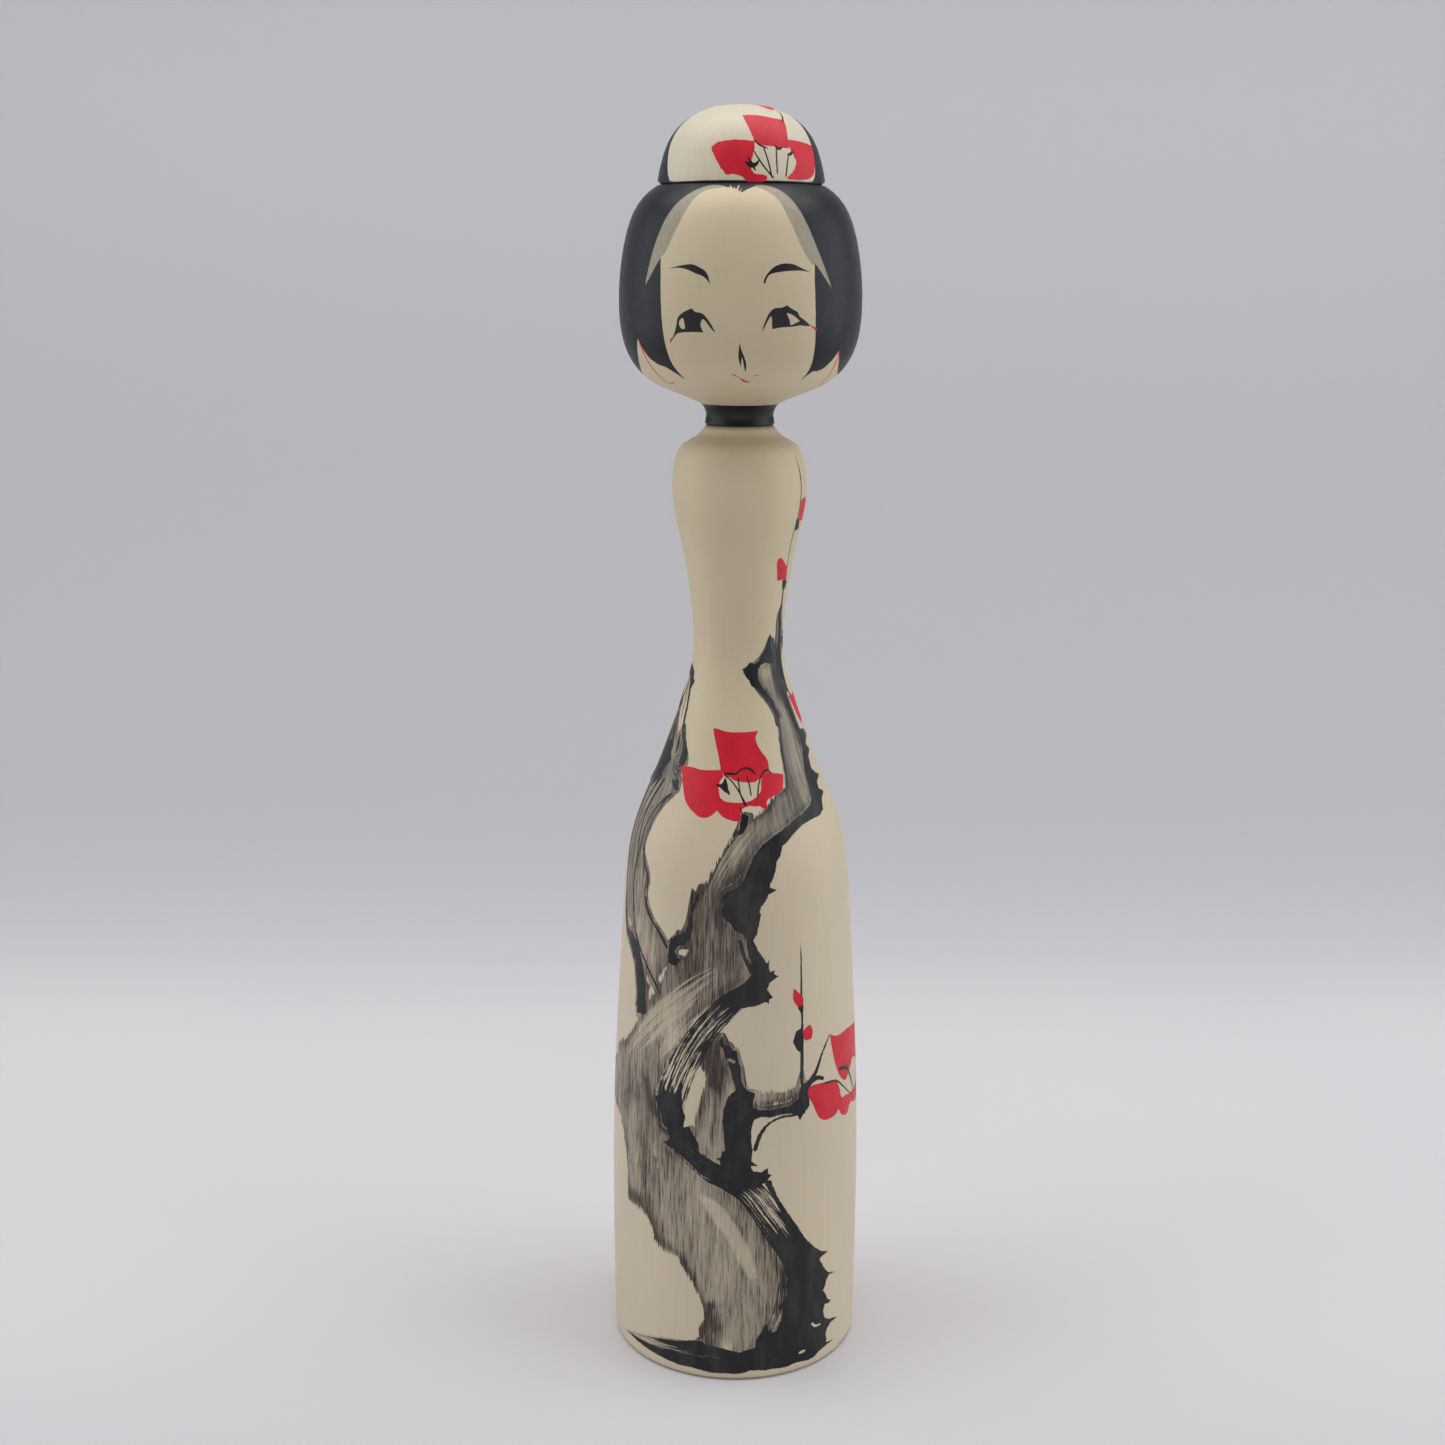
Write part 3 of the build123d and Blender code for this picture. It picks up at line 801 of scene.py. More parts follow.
def back_blossom(canvas):
    """A blossom behind the right branch."""
    return without(
        canvas.patches(
            [
                (66, 133.4, True), (76, 133.4), (90, 133.6, True), (94, 131.4), (90, 128.4), (80, 127.8),
                (74, 129.2), (70, 131.6),
            ],
            [
                (88, 134, True), (96, 138.6), (106, 139.4), (118, 138, True), (116, 134.4), (108, 132.4),
                (96, 132.6),
            ],
            [(112, 133.6), (124, 133), (130, 129.6), (124, 125.6), (114, 126.4), (109, 129.6)],
            [(90, 128.6), (94, 124.4), (104, 122.8), (112, 124.6), (111, 128), (101, 128.4)],
        ),
        canvas.patch([
            (90, 131), (95, 133), (104, 133.2), (111, 131.4), (110, 128.6), (102, 127.2), (93, 128.2),
        ]),
    )


def buds(canvas):
    """Small buds along the twigs."""
    return canvas.patches(
        [(28.2, 80.3, True), (28, 77.9), (31, 76.2), (33.4, 76.3), (33.5, 78, True), (31, 79.1)],
        [(33, 71.2), (35, 72), (37.4, 72.3, True), (38.8, 70.8), (38, 69.4, True), (35, 69.3), (33.2, 70)],
        [
            (43.2, 159.4), (45, 160.3), (51, 160.1), (58, 159), (64, 158), (67, 155.8, True), (58, 156),
            (48, 156), (45.6, 157.4),
        ],
        [(66, 170.9, True), (76, 171.4), (88, 170.6), (92, 168.6), (86, 167.2), (76, 166.9), (66, 167.5)],
        [(150, 81.5), (155, 83.6), (160, 82.6), (160, 79.6), (155, 78.2), (151, 79)],
        [(161, 73.4), (166, 75.2), (171, 74), (170, 71), (165, 70.6)],
        [(136, 158.4), (141, 161.4), (148, 160.4), (147, 157), (141, 156.2)],
        [(-119, 146), (-116, 149.4), (-123, 151), (-129, 148.4), (-126, 145.4)],
        [(-115, 119), (-119, 122), (-127, 121.2), (-127, 117.4), (-120, 116.6)],
    )


def body_red(canvas):
    """Blossoms and buds, all in one red."""
    return union(hip_blossom(canvas), right_blossom(canvas), back_blossom(canvas), buds(canvas))


def hip_stamens(canvas):
    return union(
        canvas.patch([
            (-13.4, 118.6), (-10.6, 118.9), (-8.6, 119.9), (-7, 119.1), (-6, 117.7), (-7.4, 117.3),
            (-10, 117.8),
        ]),
        canvas.strokes(
            [(5, 115.1, 0.3), (1.8, 117.4, 0.28), (0.6, 119.9, 0.24)],
            [(5.6, 115.2, 0.3), (1, 117.6, 0.3), (-4, 119.4, 0.26), (-9.4, 120.4, 0.24)],
            [(9, 116.9, 0.26), (8.2, 118.6, 0.28), (6.8, 120.3, 0.24)],
            [
                (13.4, 116.8, 0.3), (14.6, 118.6, 0.28), (17.6, 120.4, 0.3), (21.4, 121.2, 0.4),
                (25, 120.6, 0.22),
            ],
            [
                (-9.6, 120.7, 0.3), (-5, 120.7, 0.5), (-1, 120.7, 0.4), (2, 121.4, 0.3), (7, 121.7, 0.4),
                (10.6, 121.2, 0.45), (13, 120.5, 0.2),
            ],
            [(-13.6, 118.6, 0.5), (-10, 118.3, 0.7), (-6.6, 117.6, 0.7), (-5.2, 117, 0.2)],
            [(1.6, 114.9, 0.2), (3, 113.4, 0.3), (2, 111.8, 0.3)],
        ),
    )


def right_stamens(canvas):
    return canvas.strokes(
        [(46, 59.5, 0.4), (54, 58.9, 0.4), (60, 57, 0.34), (66, 54.9, 0.3), (71, 53.4, 0.26)],
        [(57, 60.9, 0.5), (62, 60.4, 0.8), (66, 59.4, 0.5), (70, 56.6, 0.32), (73, 53.6, 0.3)],
        [(65, 60.6, 0.3), (69, 58, 0.3), (75, 54, 0.28)],
        [(84, 60.4, 0.5), (82, 57.4, 0.3), (78, 53.8, 0.3)],
        [(92, 60, 0.6), (88, 57.2, 0.3), (80, 54, 0.3)],
    )


def back_stamens(canvas):
    return canvas.strokes(
        [(101, 127.4, 0.3), (98, 130, 0.28), (93, 133, 0.3)],
        [(102, 127.4, 0.3), (102, 130.4, 0.28), (101, 134, 0.3)],
        [(103, 127.4, 0.3), (107, 130.4, 0.28), (110, 133.4, 0.3)],
        [(91, 133.4, 0.3), (94, 133.2, 0.6)],
        [(99, 134.4, 0.3), (103, 134.4, 0.6)],
        [(109, 134, 0.3), (112, 133.4, 0.6)],
    )


def calyxes(canvas):
    """Short dark cups behind the buds."""
    return union(
        canvas.strokes(
            [(152, 81.6, 0.4), (154, 79, 1.0), (153, 76.6, 0.5)],
            [(161, 72.4, 0.4), (164, 72, 1.0)],
            [(136.4, 157.2, 0.5), (139.6, 158, 1.0)],
        ),
        canvas.jagged([(30.2, 76.3), (33.6, 76.5), (33.4, 75.2), (32.2, 74.8)]),
        canvas.jagged([(27.4, 69.6), (29.2, 71.6), (33, 72.2), (33.4, 69.4), (32.6, 66.8), (29.6, 67.8)]),
        canvas.jagged([(57, 155.9), (62, 156), (69.5, 155.4), (66.5, 154.1), (61.5, 153.8), (58.4, 154.5)]),
        canvas.jagged([(62.4, 167.4), (67, 167.5), (70.5, 166.8), (73.5, 165.5), (65, 165.2), (62, 165.8)]),
    )


def body_lines(canvas):
    """Fine lines drawn over the red."""
    return union(hip_stamens(canvas), right_stamens(canvas), back_stamens(canvas), calyxes(canvas))


def streaks(layer, values):
    """A combed layer and the three that lay out its hairs, by name."""
    return dict(zip((layer, layer + "_across", layer + "_along", layer + "_bare"), values))


def paint_body(canvas):
    """Every paint layer of the body, by name."""
    plain = {
        "wash": body_wash(canvas),
        "tone": body_tone(canvas),
        "ink": body_ink(canvas),
        "red": body_red(canvas),
        "line": body_lines(canvas),
    }
    return plain | streaks("dry", body_dry(canvas)) | streaks("lift", body_lift(canvas))


# ---------------------------------------------------------------- the head's painting


def face_opening(canvas):
    """The bare face with the two reserved locks beside it."""
    return canvas.patch([
        (0, 225.9, True), (-3, 226.5), (-9, 226.9), (-17, 227.2), (-25, 226.7), (-31, 225.7), (-36, 224.1),
        (-40, 221.9), (-43, 219), (-45.6, 215.8), (-47.4, 213), (-49, 210.2, True), (-46.4, 211.5),
        (-43.4, 213.1), (-40, 215, True), (-39.2, 212), (-38.6, 207), (-38.2, 203), (-37.8, 200),
        (-37, 197), (-35.4, 195.1), (-32.6, 193.5, True), (-37, 194.6), (-42, 195.7), (-47, 196.2),
        (-52, 197.3), (-55.6, 199), (-57.6, 200.6, True), (-60, 199.2), (-63.5, 197.2), (-69, 195.4),
        (-77, 194.2), (-90, 193.4), (-120, 192.6), (-150, 192.2), (-180, 191.6, True),
    ], rest=[(-180, 180), (0, 180)]), canvas.patch([
        (180, 191.6, True), (150, 192.2), (120, 192.6), (90, 193.4), (78, 194), (70, 194.7), (64, 195.8),
        (59.5, 197.3), (56.6, 198.7, True), (53.6, 197), (50, 195.7), (46, 195.1), (42.6, 195.1),
        (40, 194.4), (37.4, 193.2, True), (38.8, 194.6), (39, 196), (38.2, 198.4), (37.2, 201), (36.4, 204),
        (35.8, 208), (35.6, 211), (36, 214.2, True), (38, 213.2), (41, 211.9), (45.8, 209.7, True),
        (43.2, 212), (40.4, 214.5), (37.4, 217.2), (34.2, 220.4), (31, 223), (27.6, 225), (23, 226.3),
        (18, 226.9), (12, 227.1), (6, 226.8), (0, 225.9, True),
    ], rest=[(0, 180), (180, 180)])


def hair(canvas):
    """The hair round the bare face, with loose flicks at the parting."""
    left, right = face_opening(canvas)
    opening = np.where(canvas.angle < 0, left, right)
    flicks = canvas.strokes(
        [(-7, 227.3, 0.1), (-6, 226.8, 0.26), (-5, 226.2, 0.3)],
        [(-4.2, 226.9, 0.1), (-3.8, 226.1, 0.26)],
        [(-1.2, 227.3, 0.1), (-2, 226.7, 0.28), (-2.8, 226, 0.3)],
        [(0.4, 226.7, 0.08), (-0.6, 226.1, 0.2)],
    )
    return without(-opening, flicks)


def locks(canvas):
    """The grey locks that hang over the temples."""
    return canvas.patches(
        [
            (-10, 227), (-18, 227.3), (-25, 226.8), (-31, 225.8), (-36, 224.2), (-40, 222), (-43, 219.2),
            (-45.6, 216), (-47.4, 213), (-49, 210, True), (-46, 211.5), (-42.6, 213.4), (-39.6, 215),
            (-37.4, 215.8), (-35, 217.8), (-32, 220.4), (-29, 223), (-26, 225), (-21, 226.3),
        ],
        [
            (8, 227.1), (13, 227.3), (19, 227), (24, 226.3), (28, 225), (31.4, 223), (34.4, 220.4),
            (37.6, 217.2), (40.6, 214.5), (43.4, 212), (46, 209.6, True), (41, 211.8), (37, 213.7),
            (34.4, 213.8), (31.6, 215.2), (28.8, 217.3), (26, 219.8), (23.4, 222.2), (20.4, 224.6),
            (15, 226.2),
        ],
    )


def brows(canvas):
    return canvas.patches(
        [
            (-36, 212.9, True), (-31, 213.3), (-26.6, 213.6), (-22.6, 213.7), (-19, 213.2), (-16, 212.5),
            (-14.5, 211.5), (-13.6, 210.1, True), (-15, 211), (-17.4, 211.7), (-21, 212.2), (-25, 212.8),
            (-30, 213.1),
        ],
        [
            (10.2, 210.5, True), (10.8, 211.4), (12.4, 212.3), (15.6, 213.4), (20, 213.9), (24.4, 213.8),
            (28.4, 213.2), (33.6, 212.4, True), (28, 212.7), (21, 212.6), (15.6, 212.3), (12.8, 211.9),
            (11.4, 211), (11.2, 210.5, True),
        ],
    )


def eyes(canvas):
    """Two eyes, each round the bare white beside its iris."""
    left_eye = without(
        canvas.patch([
            (-11.2, 202, True), (-13.6, 203.7), (-16.4, 205.1), (-18.6, 205.5), (-20.6, 205.6),
            (-22.2, 206.2, True), (-24.4, 205.9), (-27.4, 205.3), (-29.5, 204.5), (-30.4, 203.2),
            (-31.4, 202.1), (-32.8, 201.1), (-34.4, 200.4, True), (-32.6, 200.9), (-30.6, 201.7),
            (-28, 202), (-23, 202.1), (-18.4, 202.1), (-16.8, 202, True), (-17.9, 202.8), (-18.2, 203.4),
            (-17.6, 204.2), (-16.6, 204.3), (-14.6, 203.4), (-13, 202.6),
        ]),
        canvas.patch([
            (-28.9, 203.5), (-28.4, 204.1), (-27.3, 204.5), (-26.5, 204.3), (-26.1, 203.5),
            (-25.8, 202.7, True), (-27, 202.6), (-28.1, 202.8),
        ]),
    )
    right_eye = without(
        canvas.patch([
            (9.6, 202, True), (10.6, 203.4), (12, 204.8), (13.6, 205.8), (15.6, 206.3), (18.6, 206.4),
            (21.2, 206.8, True), (23.6, 206.2), (26.6, 205.6), (27.6, 204.9), (30.4, 204.2),
            (34, 203.2, True), (31.4, 203.2), (28, 203.3), (24, 203.1), (19, 203), (14.6, 202.7, True),
            (14.3, 203.6), (14.2, 204.6), (13.6, 204.9), (12.2, 204), (10.8, 202.9),
        ]),
        canvas.patch([
            (21.2, 205.5, True), (23, 205.3), (25, 204.9), (27.8, 204.1, True), (25.6, 203.7),
            (23.2, 203.4), (22.8, 204.1), (21.8, 204.9),
        ]),
    )
    return union(left_eye, right_eye)


def nose(canvas):
    return canvas.patch([
        (-0.2, 200.5, True), (0.4, 199.3), (1.6, 198.2), (2.7, 197.1), (3.1, 196.2), (2.7, 195, True),
        (2, 196.1), (1.4, 197.2), (0.8, 198, True), (0.6, 197.1), (0.2, 196, True), (-0.3, 196.8),
        (-0.8, 197.8), (-0.7, 199),
    ])


def rouge(canvas):
    """The lips, the lines of the ears and the dabs at the outer corners of the eyes."""
    mouth = canvas.strokes(
        [
            (-4.8, 194.9, 0.12), (-3, 194.6, 0.3), (-1.2, 194.3, 0.2), (0.6, 193.9, 0.26),
            (2.4, 193.5, 0.5), (4.2, 193.4, 0.42), (6, 193.2, 0.12),
        ],
        [(7.2, 194.4, 0.1), (9.2, 194.6, 0.26), (11.2, 194.6, 0.12)],
    )
    ears = canvas.strokes(
        [
            (-57, 200, 0.22), (-55.2, 197.4, 0.32), (-53.4, 194.6, 0.34), (-51, 192.7, 0.32),
            (-46, 192.8, 0.22), (-41, 193.3, 0.1),
        ],
        [(-57, 200.2, 0.2), (-54.6, 198.6, 0.3), (-51.6, 197.2, 0.1)],
        [(57, 198.3, 0.22), (58.6, 196.2, 0.32), (61, 193.9, 0.32), (64, 192.5, 0.3), (70, 192.2, 0.12)],
        [(57, 198.4, 0.2), (60.4, 197, 0.28), (65, 195.8, 0.1)],
    )
    corners = canvas.strokes(
        [(-33.2, 201, 0.2), (-34, 200.6, 0.36), (-35, 200.1, 0.14)],
        [(33.8, 203.3, 0.14), (35.6, 202.9, 0.36), (37, 202.5, 0.4)],
    )
    return union(mouth, ears, corners)


def paint_head(canvas):
    neck = np.clip(canvas.height * STRETCH - NECK_TOP, -FAR, FAR)
    return {
        "ink": union(hair(canvas), neck),
        "red": rouge(canvas),
        "line": union(brows(canvas), eyes(canvas), nose(canvas)),
        "lock": locks(canvas),
    }


# ---------------------------------------------------------------- the cap's painting


def cap_panel(canvas):
    """The bare front of the cap. The rest is black hair."""
    return canvas.patch([
        (180, 241.2, True), (140, 241.3), (110, 241.2), (88, 240.6), (76, 239.6), (70, 238), (67, 236),
        (65, 233.6), (62.6, 231.2), (59.6, 229.2), (55, 228.2), (45, 228.1), (20, 228.1), (-20, 228.1),
        (-52, 228.1), (-58, 228.8), (-62, 230.5), (-66, 232.6), (-69.6, 235.2), (-72, 238), (-78, 239.8),
        (-90, 240.8), (-110, 241.3), (-140, 241.3), (-180, 241.2, True),
    ], rest=[(-180, 250), (180, 250)])


def cap_blossom(canvas):
    """Three petals and a half, round their bare middle."""
    return without(
        canvas.patches(
            [
                (-22.6, 233.7, True), (-18, 234.6), (-8, 235), (2, 235), (10, 234.8, True), (9, 233),
                (6.6, 231), (8, 229.4), (14, 229.1), (17.6, 228.7), (15, 227.8, True), (8, 227.6),
                (4, 227.8), (1, 228.6), (-4, 229.1), (-10, 229, True), (-14, 230.2), (-18, 231.8),
            ],
            [
                (1, 239.4, True), (12, 239.5), (24, 239.3), (34, 239), (45, 238.8, True), (42.6, 238.1),
                (39.4, 236.6), (37.6, 235.2, True), (37, 233.8), (26, 233.9), (16, 234.1),
                (9.6, 234.6, True), (7.4, 236.2),
            ],
            [
                (37.4, 235.1), (48, 235.1), (58, 234.8), (66, 234.5, True), (64, 232), (61, 230.3),
                (57, 229.2), (50, 228.5), (40, 228.3), (31, 228.4, True), (36, 229.7), (40.6, 231),
                (40.6, 232.4), (37.6, 233.6),
            ],
            [
                (24, 241.6), (34, 241.5), (46, 240.7), (58, 240.9), (74, 241.4), (70, 241.9), (44, 242.1),
                (28, 242),
            ],
        ),
        canvas.patch([
            (8.2, 232), (10, 233.6), (18, 234), (30, 233.8), (37.6, 233.4), (41, 232), (39, 230.4),
            (33, 229), (20, 228.6), (17.6, 229.1), (10, 229.6),
        ]),
    )


def cap_lines(canvas):
    """Stamens and the twig over the top."""
    return canvas.strokes(
        [(21.4, 228.6, 0.3), (15, 230.6, 0.3), (8.4, 233.2, 0.24)],
        [(20.4, 228.8, 0.3), (18.4, 231.6, 0.28), (15.6, 234, 0.24)],
        [(24.6, 229.4, 0.26), (25, 231.6, 0.28), (25.8, 234, 0.24)],
        [(31, 228.9, 0.3), (33, 231, 0.28), (35.4, 232.8, 0.24)],
        [(9.6, 235, 0.2), (13, 234.2, 0.4), (18.8, 233.6, 0.2)],
        [(3, 231.2, 0.3), (6, 230.7, 0.9), (9.6, 230.8, 0.7), (12.4, 231.6, 0.15)],
        [(4.6, 232, 0.2), (7, 230.9, 0.6), (9.4, 229.8, 0.2)],
        [(24.6, 234.2, 0.25), (27.6, 233.6, 0.6), (31, 233.9, 0.2)],
        [(34.4, 232.6, 0.25), (37.4, 232.8, 0.6), (39.6, 233.2, 0.3), (40.4, 232, 0.15)],
        [(41, 238.4, 0.3), (48, 239.4, 0.34), (58, 240.6, 0.3), (66, 241.3, 0.15)],
    )


def paint_cap(canvas):
    return {"ink": -cap_panel(canvas), "red": cap_blossom(canvas), "line": cap_lines(canvas)}


# ---------------------------------------------------------------- turned skins


class Skin:
    """A closed turned mesh whose cells halve wherever the edge of a painted mark runs through them."""

    CELL = 1.6  # mm
    SECTORS = 8  # the columns of cells are a multiple of this
    LEVELS = 4  # times that a cell may be halved
    REACH = 0.8  # cells this near a mark's edge, in their own sizes, are halved
    # the smallest cells in mm that the edges of each layer ask for
    FINEST = {"wash": 0.4, "ink": 0.2, "red": 0.2, "line": 0.1, "dry": 0.8, "lift": 1.6, "lock": 0.4}
    NUDGE = 0.01  # share by which a normal is looked up nearer the middle of its face, off the sharp edges

    def __init__(self, node, paint):
        self.outline = Outline(node)
        self.paint = paint
        widest = self.outline.spots[:, 0].max()
        self.columns = self.SECTORS * round(math.tau * widest / self.CELL / self.SECTORS)
        edges = self.outline.edges
        rows = [0.0]
        for low, high in zip(edges[:-1], edges[1:]):
            rows += list(np.linspace(low, high, max(1, round((high - low) / self.CELL)) + 1)[1:])
        self.row_s = np.array(rows)
        self._halve_cells()
        self._number_corners(*self._shapes())

    def place(self, row, column, level):
        """Angle and distance along the outline at a row and column of a level's grid."""
        s = np.interp(row / 2**level, np.arange(len(self.row_s)), self.row_s)
        return column / 2**level / self.columns * 360 - 180, s

    def _halve_cells(self):
        """Which cells of each level are halved, with neighbours never more than one level apart."""
        exists = np.ones((len(self.row_s) - 1, self.columns), bool)
        self.halved = []
        for level in range(self.LEVELS):
            rows, columns = np.nonzero(exists)
            angle, s = self.place(rows + 0.5, columns + 0.5, level)
            layers = self.paint(Canvas(self.outline, angle, s))
            size = self.CELL / 2**level
            wanted = np.zeros(len(rows), bool)
            for layer, values in layers.items():
                if size > self.FINEST.get(layer, size):
                    wanted |= np.abs(values) < self.REACH * size
            halved = np.zeros_like(exists)
            halved[rows, columns] = wanted
            self.halved.append(halved)
            exists = halved.repeat(2, 0).repeat(2, 1)
        for level in range(self.LEVELS - 1, 0, -1):
            fine = self.halved[level]
            wide = fine | np.roll(fine, 1, 1) | np.roll(fine, -1, 1)
            tall = wide.copy()
            tall[1:] |= wide[:-1]
            tall[:-1] |= wide[1:]
            rows, columns = tall.shape
            self.halved[level - 1] |= tall.reshape(rows // 2, 2, columns // 2, 2).any(axis=(1, 3))

    def _shapes(self):
        """Corners on the finest grid: of plain squares, and of the fans beside a finer neighbour."""
        squares, fans = [], []
        exists = np.ones((len(self.row_s) - 1, self.columns), bool)
        for level in range(self.LEVELS + 1):
            halved = self.halved[level] if level < self.LEVELS else np.zeros_like(exists)
            rows, columns = np.nonzero(exists & ~halved)
            step = 2 ** (self.LEVELS - level)
            low, left = rows * step, columns * step
            below = np.zeros_like(halved)
            below[1:] = halved[:-1]
            above = np.zeros_like(halved)
            above[:-1] = halved[1:]
            sides = (below, np.roll(halved, -1, 1), above, np.roll(halved, 1, 1))
            finer = np.stack([side[rows, columns] for side in sides], 1)
            plain = ~finer.any(1)
            corner = np.array([(0, 0), (0, step), (step, step), (step, 0)])
            spots = np.stack([low, left], 1)[:, None] + corner
            squares.append(spots[plain])
            half = step // 2
            centre = np.stack([low + half, left + half], 1)
            for k in range(4):
                a, b = spots[:, k], spots[:, (k + 1) % 4]
                middle = (a + b) // 2
                whole = ~plain & ~finer[:, k]
                broken = ~plain & finer[:, k]
                fans.append(np.stack([centre[whole], a[whole], b[whole]], 1))
                fans.append(np.stack([centre[broken], a[broken], middle[broken]], 1))
                fans.append(np.stack([centre[broken], middle[broken], b[broken]], 1))
            exists = halved.repeat(2, 0).repeat(2, 1)
        return np.concatenate(squares), np.concatenate(fans)

    def _number_corners(self, squares, fans):
        """The row and column of every vertex, one on the axis for each end, and the faces between them."""
        around = self.columns * 2**self.LEVELS
        last_row = (len(self.row_s) - 1) * 2**self.LEVELS
        keys = []
        for group in (squares, fans):
            row, column = group[..., 0], group[..., 1] % around
            column = np.where((row == 0) | (row == last_row), 0, column)
            keys.append(row.astype(np.int64) * around + column)
        flat = np.concatenate([k.ravel() for k in keys])
        unique, index = np.unique(flat, return_inverse=True)
        row, column = unique // around, unique % around
        self.angle, self.s = self.place(row.astype(float), column.astype(float), self.LEVELS)
        first = keys[0].size
        self.faces = []
        for corners in index[:first].reshape(-1, 4).tolist() + index[first:].reshape(-1, 3).tolist():
            ring = [v for k, v in enumerate(corners) if v != corners[k - 1]]
            if len(ring) > 2:
                self.faces.append(ring)

    def build(self, name):
        """The skin as an object, with a vertex attribute for each paint layer."""
        spots = self.outline.at(self.s)
        places = wrap(spots[:, 0], self.angle, spots[:, 1]) * MM
        mesh = bpy.data.meshes.new(name)
        mesh.from_pydata(places.tolist(), [], self.faces)
        layers = self.paint(Canvas(self.outline, self.angle, self.s))
        self.layers = list(layers)
        for layer, values in layers.items():
            attribute = mesh.attributes.new(layer, "FLOAT", "POINT")
            attribute.data.foreach_set("value", values.astype(np.float32))
        self._set_normals(mesh)
        piece = bpy.data.objects.new(name, mesh)
        bpy.context.scene.collection.objects.link(piece)
        return piece

    def _set_normals(self, mesh):
        """Normals taken from the outline, so that its sharp edges stay sharp and the rest is smooth."""
        mesh.shade_smooth()
        vertex = np.empty(len(mesh.loops), int)
        mesh.loops.foreach_get("vertex_index", vertex)
        totals = np.empty(len(mesh.polygons), int)
        mesh.polygons.foreach_get("loop_total", totals)
        owner = np.repeat(np.arange(len(totals)), totals)
        s = self.s[vertex]
        middle = np.bincount(owner, s) / totals
        normal = self.outline.normal(s + self.NUDGE * (middle[owner] - s))
        around = wrap(normal[:, 0], self.angle[vertex], normal[:, 1])
        mesh.normals_split_custom_set(around.tolist())


# ---------------------------------------------------------------- materials


def linear(red, green, blue):
    """A colour given in screen values, 0 to 255, as the linear one that shaders take."""
    values = [v / 255 for v in (red, green, blue)]
    return tuple(v / 12.92 if v <= 0.04045 else ((v + 0.055) / 1.055) ** 2.4 for v in values) + (1.0,)


class Nodes:
    """A material's node tree, written as nested calls."""

    def __init__(self, name):
        self.material = bpy.data.materials.new(name)
        self.material.use_nodes = True
        self.tree = self.material.node_tree
        self.shader = self.tree.nodes["Principled BSDF"]

    def put(self, socket, value):
        if isinstance(value, bpy.types.NodeSocket):
            self.tree.links.new(value, socket)
        else:
            socket.default_value = value

    def layer(self, name):
        node = self.tree.nodes.new("ShaderNodeAttribute")
        node.attribute_name = name
        return node.outputs["Fac"]

    def math(self, operation, *values):
        node = self.tree.nodes.new("ShaderNodeMath")
        node.operation = operation
        for socket, value in zip(node.inputs, values):
            self.put(socket, value)
        return node.outputs[0]

    def span(self, value, low, high, to_low=0.0, to_high=1.0):
        node = self.tree.nodes.new("ShaderNodeMapRange")
        node.interpolation_type = "SMOOTHSTEP"
        for socket, given in zip(node.inputs, (value, low, high, to_low, to_high)):
            self.put(socket, given)
        return node.outputs[0]

    def blend(self, share, first, second):
        node = self.tree.nodes.new("ShaderNodeMix")
        node.data_type = "RGBA"
        self.put(node.inputs[0], share)
        self.put(node.inputs[6], first)
        self.put(node.inputs[7], second)
        return node.outputs[2]

    def place(self, *scale):
        """Object coordinates in mm, stretched by scale."""
        if not hasattr(self, "_object"):
            self._object = self.tree.nodes.new("ShaderNodeTexCoord").outputs["Object"]
        node = self.tree.nodes.new("ShaderNodeVectorMath")
        node.operation = "MULTIPLY"
        self.put(node.inputs[0], self._object)
        node.inputs[1].default_value = [s / MM for s in scale]
        return node.outputs[0]

    def upright(self, around, up):
        """Coordinates for streaks that run straight up the surface, stretched by around and up."""
        flat = self.tree.nodes.new("ShaderNodeVectorMath")
        flat.operation = "NORMALIZE"
        self.put(flat.inputs[0], self.place(1.0, 1.0, 0.0))
        node = self.tree.nodes.new("ShaderNodeVectorMath")
        node.operation = "MULTIPLY_ADD"
        self.put(node.inputs[0], flat.outputs[0])
        node.inputs[1].default_value = (MEAN_RADIUS * around, MEAN_RADIUS * around, 0)
        self.put(node.inputs[2], self.place(0.0, 0.0, up))
        return node.outputs[0]

    def _coordinate(self, k):
        node = self.tree.nodes.new("ShaderNodeSeparateXYZ")
        self.put(node.inputs[0], self.place(1.0, 1.0, 1.0))
        return node.outputs[k]

    def height(self):
        return self._coordinate(2)

    def depth(self):
        return self._coordinate(1)

    def vector(self, *values):
        node = self.tree.nodes.new("ShaderNodeCombineXYZ")
        for socket, value in zip(node.inputs, values):
            self.put(socket, value)
        return node.outputs[0]

    def noise(self, where, detail=3.0, rough=0.55):
        node = self.tree.nodes.new("ShaderNodeTexNoise")
        self.put(node.inputs["Vector"], where)
        node.inputs["Scale"].default_value = 1.0
        node.inputs["Detail"].default_value = detail
        node.inputs["Roughness"].default_value = rough
        return node.outputs["Fac"]


@dataclass
class Look:
    """How one painted material differs from the others: screen colours, and how far its paint soaks in."""

    name: str
    ink: tuple
    thin_ink: tuple
    wood: tuple
    ink_soak: float
    red_soak: float


